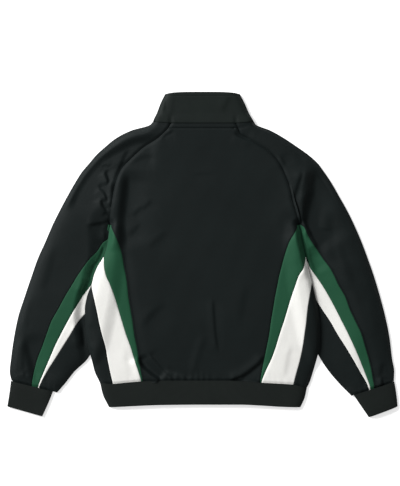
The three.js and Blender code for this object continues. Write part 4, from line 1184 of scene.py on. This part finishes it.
def collar(material):
    layer, place = collar_surface()
    rolls = SEAM_ROLL_STEPS / (COLLAR_TOP_Y - NECK_Y)
    grooves = 1 - (COLLAR_EDGE_DROP + GROOVE_ROWS) / (COLLAR_TOP_Y - NECK_Y)
    alongs = np.unique(np.concatenate([rolls, np.linspace(0, 1, COLLAR_ROWS), grooves]))
    grid = open_band_grid(layer, alongs, place, FINE)
    seam_distance = alongs[:, None] * (COLLAR_TOP_Y - NECK_Y)
    grid["roll"] = np.broadcast_to(roll_at(seam_distance), grid["x"].shape)
    points = wall_points(grid, layer)
    return cloth_piece("collar", points, material, "collar_cloth", rounded=True)


RIB_PITCH = 2.7
RIB_DEPTH = 0.4
RIB_SAMPLES = 4


def rib_relief(columns, rows):
    """Grooves between the ribs of a knit, across a band's columns."""
    phase = 2 * math.pi * np.arange(columns) / RIB_SAMPLES
    groove = RIB_DEPTH * (0.5 - 0.5 * np.cos(phase)) ** 1.5
    return np.broadcast_to(groove[None, :], (rows, columns))


def hem_band(material):
    left, right = curve_of(HEM_FOLDS, "left"), curve_of(HEM_FOLDS, "right")

    def share_of(x, y):
        return (y - hem_seam(x)) / (hem_edge(x) - hem_seam(x))

    base = band_top(RIB_FOLD_RADIUS, HEM_CROWN, BAND_REACH, by_fold(left, right, share_of))

    def top(x, y):
        return base(x, y) + 0.6 * waves(x, 0.3 * y)

    def place(along, share, front):
        share = np.asarray(share, float)
        fold = np.where(share < 0, left(along), right(along))
        start = np.where(share < 0, left(0), right(0))
        end = np.where(share < 0, left(1), right(1))
        seam = hem_seam(share * start) - 2 * HALF_GAP
        return share * fold, mix(seam, hem_edge(share * end) + RIB / 2, along)

    layer = {"top": top, "low": flat, "wall": RIB, "radius": RIB_FOLD_RADIUS}
    grid = open_band_grid(layer, np.linspace(0, 1, BAND_ROWS), place, RIB_PITCH / RIB_SAMPLES)
    rows, columns = grid["x"].shape
    points = wall_points(grid, layer, 1, rib_relief(columns, rows))
    return cloth_piece("hem_band", points, material, "rib_knit", rounded=True)


def smooth_line(points):
    """A smooth line through three points, from 0 at the first to 1 at the last."""
    points = np.array(points, float)
    control = 2 * points[1] - (points[0] + points[2]) / 2

    def at(share):
        t = np.asarray(share, float)[..., None]
        return (1 - t) ** 2 * points[0] + 2 * t * (1 - t) * control + t**2 * points[2]

    return at


CUFF_LEAN = {"left": 3.0, "right": -1.4}
CUFF_LENGTH = 60.0
CUFF_LINE_POINTS = np.linspace(-0.2, 1.2, 30)


def cuff(half, material):
    shape = CUFFS[half.side]
    outer_line, inner_line = smooth_line(shape["outer"]), smooth_line(shape["inner"])
    to_outer, to_inner = polyline(outer_line(CUFF_LINE_POINTS)), polyline(inner_line(CUFF_LINE_POINTS))

    def top(x, y):
        away = np.abs(x)
        distance = np.minimum(to_outer(away, y)[0], to_inner(away, y)[0]) - RIB_FOLD_RADIUS
        rise = 1 - np.exp(-np.maximum(distance, 0) / BAND_REACH)
        lean = CUFF_LEAN[half.side] * ease((half.cuff_seam(away) - y) / CUFF_LENGTH)
        return mix(2 * RIB_FOLD_RADIUS, CUFF_CROWN - lean, rise)

    layer = {"top": top, "low": flat, "wall": RIB, "radius": RIB_FOLD_RADIUS}
    alongs = np.linspace(0, 1 - RIB / 2 / CUFF_LENGTH, BAND_ROWS)
    outer_edge, inner_edge = outer_line(alongs), inner_line(alongs)
    outer_edge[0, 1] -= HALF_GAP
    inner_edge[0, 1] -= HALF_GAP
    step = inner_edge - outer_edge
    way = step / np.hypot(step[:, 0], step[:, 1])[:, None]
    outer_centre, inner_centre = outer_edge + way * layer["radius"], inner_edge - way * layer["radius"]
    count = RIB_SAMPLES * int(CUFF_WIDTH / RIB_PITCH)
    turns = np.linspace(-math.pi / 2, math.pi / 2, ARC_STEPS)[None, :]
    shares = np.linspace(0, 1, count + 1)[None, 1:-1]

    def between(a, b, angle):
        x = mix(a[:, :1], b[:, :1], shares)
        y = mix(a[:, 1:], b[:, 1:], shares)
        return {"x": x, "y": y, "roll": np.zeros_like(x), "angle": np.full_like(x, angle)}

    grid = joined([
        with_inward(arc_grid(outer_centre, turns), way),
        with_inward(between(outer_centre, inner_centre, math.pi / 2), way),
        with_inward(arc_grid(inner_centre, turns[:, ::-1]), -way),
        with_inward(between(inner_centre, outer_centre, -math.pi / 2), way),
    ])
    rows, columns = grid["x"].shape
    points = wall_points(grid, layer, half.sign, rib_relief(columns, rows))
    return cloth_piece(f"cuff_{half.side}", points, material, "rib_knit", closed=True, rounded=True)


# The zip tape's rows, its columns from the teeth out, and a shallow groove down its second column
TAPE_ROWS = 140
TAPE_COLUMNS = np.array([
    TAPE_INNER, TAPE_INNER + 0.6, TAPE_INNER + 1.4, 6, 9, 12, TAPE_OUTER - 1, TAPE_OUTER,
])
TAPE_GROOVE = np.where(np.arange(len(TAPE_COLUMNS)) == 1, 0.12, 0)


def zip_tape(half, material):
    heights = np.linspace(ZIP_BOTTOM_Y, ZIP_TOP_Y, TAPE_ROWS)
    x = np.broadcast_to(half.sign * TAPE_COLUMNS[None, :], (TAPE_ROWS, len(TAPE_COLUMNS)))
    y = np.broadcast_to(heights[:, None], x.shape)
    low = TAPE_BOTTOM + zip_lift(np.zeros_like(y), y)
    outer = np.stack([x, y, low + TAPE_GROOVE], -1)
    inner = np.stack([x, y, low + TAPE_THICK - TAPE_GROOVE], -1)
    return cloth_piece(f"zip_tape_{half.side}", (outer, inner), material, "zip_tape")


def copies(points, faces, places):
    """One mesh of many copies: places holds a 3 by 3 turn and a shift for each."""
    all_points, all_faces = [], []
    for number, (turn, shift) in enumerate(places):
        all_points.append(points @ turn.T + shift)
        all_faces.extend([[v + number * len(points) for v in face] for face in faces])
    return np.vstack(all_points), all_faces


def plain_piece(name, points, faces, material, body=BODY, node=None, smooth_angle=50):
    piece = make_object(name, points, faces, material, smooth_angle)
    if node:
        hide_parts(node)
    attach(piece, body)
    return piece


TOOTH_PITCH = 1.35
TOOTH_HALF = (1.55, 0.5, 1.05)
TOOTH_SHIFT = 0.62
TEETH_INSET = 2.0

# Half of a tooth's outline, and its sections from bottom to top, in shares of its half sizes
TOOTH_OUTLINE = [(-1, 0.7), (-0.3, 1), (0.7, 1), (1, 0.5)]
TOOTH_SECTIONS = [(0.82, -1), (1, -0.6), (1, 0.6), (0.82, 1)]


def zip_teeth(material):
    """Interlocked moulded teeth, left and right in turn, along the zip."""
    hx, hy, hz = TOOTH_HALF
    ring = [(x * hx, -y * hy) for x, y in TOOTH_OUTLINE]
    ring += [(x, -y) for x, y in reversed(ring)]
    points = [(x * size, y * size, z * hz) for size, z in TOOTH_SECTIONS for x, y in ring]
    n, top = len(ring), len(TOOTH_SECTIONS) - 1
    faces = [[i * n + j, i * n + (j + 1) % n, (i + 1) * n + (j + 1) % n, (i + 1) * n + j]
             for i in range(top) for j in range(n)]
    faces += [list(range(n))[::-1], [top * n + j for j in range(n)]]
    places = []
    for number in range(int((ZIP_TOP_Y - ZIP_BOTTOM_Y - 2 * TEETH_INSET) / TOOTH_PITCH)):
        y = ZIP_BOTTOM_Y + TEETH_INSET + number * TOOTH_PITCH
        side = 1 if number % 2 else -1
        z = TAPE_BOTTOM + TAPE_THICK / 2 + float(zip_lift(0, y))
        places.append((np.diag([-side, 1.0, 1.0]), np.array([side * TOOTH_SHIFT, y, z])))
    points, faces = copies(np.array(points), faces, places)
    return plain_piece("zip_teeth", points, faces, material, node="zip_chain", smooth_angle=35)


WELD_GAP = 0.01
EDGE_BEVEL = 0.18
BEVEL_FROM = math.radians(50)
METAL_SHARP_FROM = math.radians(40)


def metal_copy(node, name, material, body):
    """The slider and its pull tab keep their solids' shape, with softened edges."""
    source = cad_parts[node]
    mesh = source.data.copy()
    mesh.name = name
    mesh.materials.clear()
    mesh.materials.append(material)
    piece = bpy.data.objects.new(name, mesh)
    bpy.context.scene.collection.objects.link(piece)
    weld = piece.modifiers.new("weld", "WELD")
    weld.merge_threshold = WELD_GAP * MM
    bevel = piece.modifiers.new("bevel", "BEVEL")
    bevel.width = EDGE_BEVEL * MM
    bevel.segments = 2
    bevel.limit_method = "ANGLE"
    bevel.angle_limit = BEVEL_FROM
    mesh.shade_smooth()
    mesh.set_sharp_from_angle(angle=METAL_SHARP_FROM)
    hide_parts(node)
    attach(piece, body)
    return piece


# The turned edges behind the seams, and how far under or over their sheet they lie
ALLOWANCE = 11.0
ALLOWANCE_COLUMNS = 6
ALLOWANCE_STEP = 5.0
ALLOWANCE_THICK = 0.6
ALLOWANCE_DEPTH = CLOTH + 0.25
BAND_ALLOWANCE_DEPTH = RIB + 0.25
ALLOWANCE_SHIFT = 1.0
LEAST_CUT = 0.01

# The columns are name, seam, first and last level, sheet, and whether that is the lower one
ALLOWANCES = [
    ("raglan", "raglan", 312, 76, body_top, False),
    ("green", "green_seam", 60, -300, body_top, False),
    ("white", "white_seam", -10, -300, body_top, False),
    ("sleeve_green", "sleeve_green", 50, -310, sleeve_top, False),
    ("sleeve_white", "sleeve_white", -10, -312, sleeve_top, False),
    ("sleeve_black", "sleeve_black", -96, -314, sleeve_top, False),
    ("front_raglan", "front_raglan", 280, 78, body_low, True),
    ("front_side", "front_seam", 66, -300, body_low, True),
    ("undersleeve", "sleeve_front", 66, -308, sleeve_low, True),
]

# Where the ones along the cross seams start and stop, and how many points they have
FRONT_HEM_LINE = (20.0, 238.0, 60)
CUFF_SEAM_LINE = (0.02, 0.86, 26)
HEM_LINE = (-234.0, 242.0, 120)
NECK_LINE = (-115.5, 120.5, 60)


def loose_sheet(name, outer, inner, material):
    """A piece of cloth that no solid stands for."""
    cut, area = flat_cut(outer)
    piece = sheet_mesh(name, outer, inner, material)
    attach(piece, BODY)
    max(cut[0], LEAST_CUT)
    return piece


def seam_allowance(name, line, surface, material, depth=ALLOWANCE_DEPTH, below=False):
    """A strip of cloth inside the jacket along a seam's line, under the top sheet or, where below is set,
    over the lower one."""
    way = np.gradient(line, axis=0)
    way = way / np.hypot(way[:, 0], way[:, 1])[:, None]
    across = np.linspace(-ALLOWANCE / 2, ALLOWANCE / 2, ALLOWANCE_COLUMNS)[None, :]
    x = line[:, :1] - way[:, 1:] * across
    y = line[:, 1:] + way[:, :1] * across
    top = surface(x, y) + (depth + ALLOWANCE_THICK if below else -depth)
    outer = np.stack([x, y, top], -1)
    inner = np.stack([x, y, top - ALLOWANCE_THICK], -1)
    return loose_sheet(name, outer, inner, material)


def seam_allowances(material):
    for half in (LEFT, RIGHT):
        side = half.side
        for name, seam, top, bottom, surface, below in ALLOWANCES:
            y = np.linspace(top, bottom, int((top - bottom) / ALLOWANCE_STEP))
            line = np.column_stack([half.sign * getattr(half, seam)(y), y])
            seam_allowance(f"allowance_{name}_{side}", line, surface, material, below=below)
        x = half.sign * np.linspace(*FRONT_HEM_LINE)
        line = np.column_stack([x, hem_seam(x)])
        seam_allowance(f"allowance_hem_front_{side}", line, body_low, material, BAND_ALLOWANCE_DEPTH, True)
        underarm(half, material)
        share = np.linspace(*CUFF_SEAM_LINE)
        (ax, ay), (bx, by) = CUFFS[side]["seam"]
        line = np.column_stack([half.sign * mix(ax, bx, share), mix(ay, by, share)])
        seam_allowance(f"allowance_cuff_{side}", line, sleeve_top, material)
        seam_allowance(f"allowance_cuff_low_{side}", line, sleeve_low, material, BAND_ALLOWANCE_DEPTH, True)
    x = np.linspace(*HEM_LINE)
    line = np.column_stack([x, hem_seam(x) + ALLOWANCE_SHIFT])
    seam_allowance("allowance_hem", line, body_top, material)
    x = np.linspace(*NECK_LINE)
    line = np.column_stack([x, back_neck(x) - ALLOWANCE_SHIFT])
    seam_allowance("allowance_neck", line, body_top, material)


# The underarm's turned edges lie between the body's fold and the sleeve's, where the four seams meet
UNDERARM = {"top": 84.0, "bottom": 58.0, "half": 6.0, "low": 2.3, "thick": 0.6, "rows": 9, "columns": 5}


def underarm(half, material):
    y = np.linspace(UNDERARM["top"], UNDERARM["bottom"], UNDERARM["rows"])
    across = np.linspace(-UNDERARM["half"], UNDERARM["half"], UNDERARM["columns"])
    middle = half.fold(np.minimum(y, ARMPIT_Y))
    x = half.sign * (middle[:, None] + across[None, :])
    low = np.full_like(x, UNDERARM["low"])
    rows = np.broadcast_to(y[:, None], x.shape)
    outer = np.stack([x, rows, low + UNDERARM["thick"]], -1)
    return loose_sheet(f"underarm_{half.side}", outer, np.stack([x, rows, low], -1), material)


STITCH_PITCH = 3.2
STITCH_LENGTH = 2.3
STITCH_RADIUS = 0.24
STITCH_LIFT = 0.1
STITCH_BOW = 0.12

# A stitch's two rings: their places along it, their size, and their share of its bow
RING_SHARES = (0.25, 0.75)
RING_SIZE = 0.8
RING_BOW = 0.9

# The columns are seam, first and last level, offset away from the centre line, and sheet
STITCHED = [
    ("raglan", 308, 80, -2.6, body_top),
    ("green_seam", 60, -296, -2.6, body_top),
    ("sleeve_green", 20, -306, 2.6, sleeve_top),
]
STITCHED_POINTS = 120
NECK_STITCHES = (-70.0, 74.0, 60)


def stitch_line(line, height):
    """Places for stitches along a line on a sheet. height gives the sheet's z at x and y."""
    steps = np.hypot(*np.diff(line, axis=0).T)
    reached = np.concatenate([[0], np.cumsum(steps)])
    middles = np.arange(STITCH_PITCH, reached[-1] - STITCH_PITCH, STITCH_PITCH)

    def at(distance, lift=STITCH_LIFT):
        x = np.interp(distance, reached, line[:, 0])
        y = np.interp(distance, reached, line[:, 1])
        return np.stack([x, y, height(x, y) + lift], -1)

    half = STITCH_LENGTH / 2
    return at(middles - half), at(middles, STITCH_LIFT + STITCH_BOW), at(middles + half)


def stitches(name, lines, material):
    """Short bowed threads, each a slim spindle of four sides."""
    ring = np.array([[1, 0], [0, 1], [-1, 0], [0, -1]]) * STITCH_RADIUS * RING_SIZE
    all_points, all_faces = [], []
    for starts, middles, stops in lines:
        for a, m, b in zip(starts, middles, stops):
            along = (b - a) / np.linalg.norm(b - a)
            side = np.cross(along, [0, 0, 1])
            up = np.cross(side, along)
            base = len(all_points)
            all_points.append(a)
            for share in RING_SHARES:
                centre = mix(a, b, share) + (m - (a + b) / 2) * RING_BOW
                all_points.extend([centre + p[0] * side + p[1] * up for p in ring])
            all_points.append(b)
            for i in range(4):
                j = (i + 1) % 4
                all_faces.append([base, base + 1 + j, base + 1 + i])
                all_faces.append([base + 1 + i, base + 1 + j, base + 5 + j, base + 5 + i])
                all_faces.append([base + 5 + i, base + 5 + j, base + 9])
    return plain_piece(name, np.array(all_points), all_faces, material, smooth_angle=180)


def beside(curve, y, offset):
    """Points beside a seam, moved square to it. A positive offset is away from the centre line."""
    slope = (curve(y + 2) - curve(y - 2)) / 4
    length = np.hypot(1, slope)
    return np.column_stack([curve(y) + offset / length, y - offset * slope / length])


def body_stitches(material):
    lines = []
    for half in (LEFT, RIGHT):
        for seam, top, bottom, offset, surface in STITCHED:
            y = np.linspace(top, bottom, STITCHED_POINTS)
            line = beside(getattr(half, seam), y, offset)
            line[:, 0] *= half.sign
            lines.append(stitch_line(line, surface))
    x = np.linspace(*NECK_STITCHES)
    lines.append(stitch_line(np.column_stack([x, back_neck(x) - NECK_STITCH_DROP]), body_top))
    return stitches("seam_stitches", lines, material)


def new_material(name):
    material = bpy.data.materials.new(name)
    material.use_nodes = True
    return material, material.node_tree.nodes["Principled BSDF"]


def set_inputs(node, inputs):
    """Sets each input to its value, or links it where the value is another node's output."""
    for name, value in inputs.items():
        socket = node.inputs[name]
        if isinstance(value, bpy.types.NodeSocket):
            node.id_data.links.new(value, socket)
        else:
            socket.default_value = value


def add_node(material, kind, output, inputs, **settings):
    """Adds a node with its settings and inputs, and returns one of its outputs."""
    node = material.node_tree.nodes.new("ShaderNode" + kind)
    for name, value in settings.items():
        setattr(node, name, value)
    set_inputs(node, inputs)
    return node.outputs[output]


# A wave texture of scale 1 has this many bands a metre
WAVE_BANDS = 3.183

# The knit's courses are closer than its wales, by this share
COURSE_SHARE = 0.75
WALE_WEIGHT = 0.7
KNIT_SHADE = 0.22
KNIT_BUMP = {"Strength": 0.35, "Distance": 0.25 * MM}
SOFT_BUMP = {"Strength": 0.25, "Distance": 1.2 * MM}
CLOUD = {"Scale": 14, "Detail": 5, "Roughness": 0.6}
RIPPLE = {"Scale": 45, "Detail": 3}
FUZZ = {"Scale": 900, "Detail": 3}
ROUGHNESS_RANGE = 0.08
CLOTH_SURFACE = {"Metallic": 0, "Sheen Roughness": 0.3, "Specular IOR Level": 0.12}


def knit_bands(material, place, way, pitch, distortion):
    inputs = {"Vector": place, "Scale": 1 / (pitch * MM) / WAVE_BANDS, "Distortion": distortion}
    if way == "X":
        inputs["Detail"] = 1
    return add_node(material, "TexWave", "Fac", inputs, wave_type="BANDS", bands_direction=way)


def knit_material(name, color, roughness, sheen, sheen_tint, variation, pitch):
    """A knitted cloth: colour that varies a little, fine wales and courses, and a soft sheen."""
    material, shader = new_material(name)
    place = add_node(material, "TexCoord", "Object", {})
    on_cut = add_node(material, "TexCoord", "UV", {})
    cloud = add_node(material, "TexNoise", "Fac", {"Vector": place, **CLOUD})
    dark = (*[c * (1 - variation) for c in color], 1)
    light = (*[min(1, c * (1 + variation)) for c in color], 1)
    tones = {"Factor": cloud, "A": dark, "B": light}
    tone = add_node(material, "Mix", "Result", tones, data_type="RGBA")
    wales = knit_bands(material, on_cut, "X", pitch, 0.4)
    courses = knit_bands(material, on_cut, "Y", COURSE_SHARE * pitch, 0.6)
    sums = {0: wales, 1: WALE_WEIGHT, 2: courses}
    weave = add_node(material, "Math", "Value", sums, operation="MULTIPLY_ADD")
    shades = {"Factor": KNIT_SHADE, "A": tone, "B": weave}
    shade = add_node(material, "Mix", "Result", shades, data_type="RGBA", blend_type="MULTIPLY")
    fuzz = add_node(material, "TexNoise", "Fac", {"Vector": place, **FUZZ})
    limits = {"Value": fuzz, "To Min": roughness - ROUGHNESS_RANGE, "To Max": roughness + ROUGHNESS_RANGE}
    rough = add_node(material, "MapRange", "Result", limits)
    ripple = add_node(material, "TexNoise", "Fac", {"Vector": place, **RIPPLE})
    soft = add_node(material, "Bump", "Normal", {"Height": ripple, **SOFT_BUMP})
    normal = add_node(material, "Bump", "Normal", {"Height": weave, "Normal": soft, **KNIT_BUMP})
    set_inputs(shader, {**CLOTH_SURFACE, "Sheen Weight": sheen, "Sheen Tint": (*sheen_tint, 1)})
    set_inputs(shader, {"Base Color": shade, "Roughness": rough, "Normal": normal})
    return material


GRAIN = {"Scale": 400, "Detail": 4}
METAL_TONES = {"A": (0.03, 0.03, 0.033, 1), "B": (0.06, 0.06, 0.064, 1)}
METAL_ROUGHNESS = {"To Min": 0.28, "To Max": 0.45}


def metal_material(name):
    material, shader = new_material(name)
    place = add_node(material, "TexCoord", "Object", {})
    grain = add_node(material, "TexNoise", "Fac", {"Vector": place, **GRAIN})
    tone = add_node(material, "Mix", "Result", {"Factor": grain, **METAL_TONES}, data_type="RGBA")
    rough = add_node(material, "MapRange", "Result", {"Value": grain, **METAL_ROUGHNESS})
    set_inputs(shader, {"Metallic": 0.9, "Base Color": tone, "Roughness": rough})
    return material


# The stage's sizes and places are in metres
FLOOR_SIZE = 12
FLOOR_Z = -0.0006
FLOOR_SURFACE = {
    "Base Color": (0.85, 0.85, 0.85, 1), "Roughness": 0.9,
    "Emission Color": (1, 1, 1, 1), "Emission Strength": 0.55,
}
KEY_LIGHT = {"place": (-7.1, 4.9, 5.2), "size": 3.4, "power": 1500}
WORLD_LIGHT = {"Color": (1, 1, 1, 1), "Strength": 0.3}
LENS, SENSOR = 85, 36
CAMERA_PLACE = (-0.0058, 0.0286, 2.76)


def floor():
    bpy.ops.mesh.primitive_plane_add(size=FLOOR_SIZE, location=(0, 0, FLOOR_Z))
    ground = bpy.context.object
    ground.name = "floor"
    material, shader = new_material("floor")
    set_inputs(shader, FLOOR_SURFACE)
    ground.data.materials.append(material)


def area_light(name, place, size, power):
    """A square light that faces the jacket's middle."""
    data = bpy.data.lights.new(name, "AREA")
    data.shape = "SQUARE"
    data.size = size
    data.energy = power
    light = bpy.data.objects.new(name, data)
    bpy.context.scene.collection.objects.link(light)
    light.location = place
    light.rotation_euler = (-Vector(place)).to_track_quat("-Z", "Y").to_euler()


def camera():
    data = bpy.data.cameras.new("camera")
    data.lens = LENS
    data.sensor_width = SENSOR
    view = bpy.data.objects.new("camera", data)
    bpy.context.scene.collection.objects.link(view)
    view.location = CAMERA_PLACE
    bpy.context.scene.camera = view


def light_and_world():
    world = bpy.data.worlds.new("studio")
    bpy.context.scene.world = world
    world.use_nodes = True
    set_inputs(world.node_tree.nodes["Background"], WORLD_LIGHT)
    area_light("key", **KEY_LIGHT)
    bpy.context.scene.view_settings.view_transform = "Standard"


# For each slot: name, colour, roughness, sheen, the sheen's tint, variation, and the knit's pitch
CLOTHS = {
    "black_cloth": ("black_knit", (0.0058, 0.0092, 0.0092), 0.62, 0.06, (0.7, 0.8, 0.8), 0.18, 1.1),
    "collar_cloth": ("collar_knit", (0.0085, 0.0125, 0.0112), 0.62, 0.02, (0.7, 0.8, 0.8), 0.18, 1.1),
    "rib_knit": ("rib_knit", (0.0095, 0.0125, 0.0113), 0.7, 0.02, (0.7, 0.8, 0.8), 0.2, 1.5),
    "green_cloth": ("green_knit", (0.014, 0.075, 0.037), 0.6, 0.1, (0.6, 0.9, 0.7), 0.12, 1.1),
    "white_cloth": ("white_knit", (0.87, 0.865, 0.83), 0.68, 0.1, (1, 1, 1), 0.03, 1.1),
    "zip_tape": ("zip_tape", (0.011, 0.012, 0.012), 0.8, 0.1, (0.7, 0.7, 0.7), 0.2, 0.8),
}

# The pieces beside and round the folds. The columns are node, the seam nearer the middle of the sheet,
# the seam beyond it, slot, whether the piece is on the sleeve, first level, count of columns, and whether
# the seam beyond lies on the lower sheet.
FOLD_PIECES = [
    ("body_green", "green_seam", "white_seam", "green_cloth", False, TIP_LEVEL, 22, False),
    ("body_white", "white_seam", "side_seam", "white_cloth", False, BODY_WHITE_LEVEL, 24, False),
    ("side_panel", "side_seam", "front_seam", "black_cloth", False, TIP_LEVEL, 34, True),
    ("sleeve_green", "sleeve_green", "sleeve_white", "green_cloth", True, TIP_LEVEL, 20, False),
    ("sleeve_white", "sleeve_white", "sleeve_black", "white_cloth", True, ARM_WHITE_LEVEL, 16, False),
    ("undersleeve", "sleeve_black", "sleeve_front", "black_cloth", True, TIP_LEVEL, 40, True),
]

camera()
light_and_world()
floor()
cloths = {slot: knit_material(*row) for slot, row in CLOTHS.items()}
black = cloths["black_cloth"]
metal = metal_material("zip_metal")

back_panel(black)
collar(cloths["collar_cloth"])
hem_band(cloths["rib_knit"])
for half in (LEFT, RIGHT):
    front_panel(half, black)
    sleeve(half, black)
    for node, near, far, slot, arm, first, count, below in FOLD_PIECES:
        seams = getattr(half, near), getattr(half, far)
        fold_piece(half, node, *seams, cloths[slot], slot, arm, first, count, below)
    cuff(half, cloths["rib_knit"])
    zip_tape(half, cloths["zip_tape"])
zip_teeth(metal)
metal_copy("zip_slider", "slider", metal, BODY)
metal_copy("zip_pull_tab", "pull_tab", metal, "pull_tab")
body_stitches(black)
seam_allowances(black)
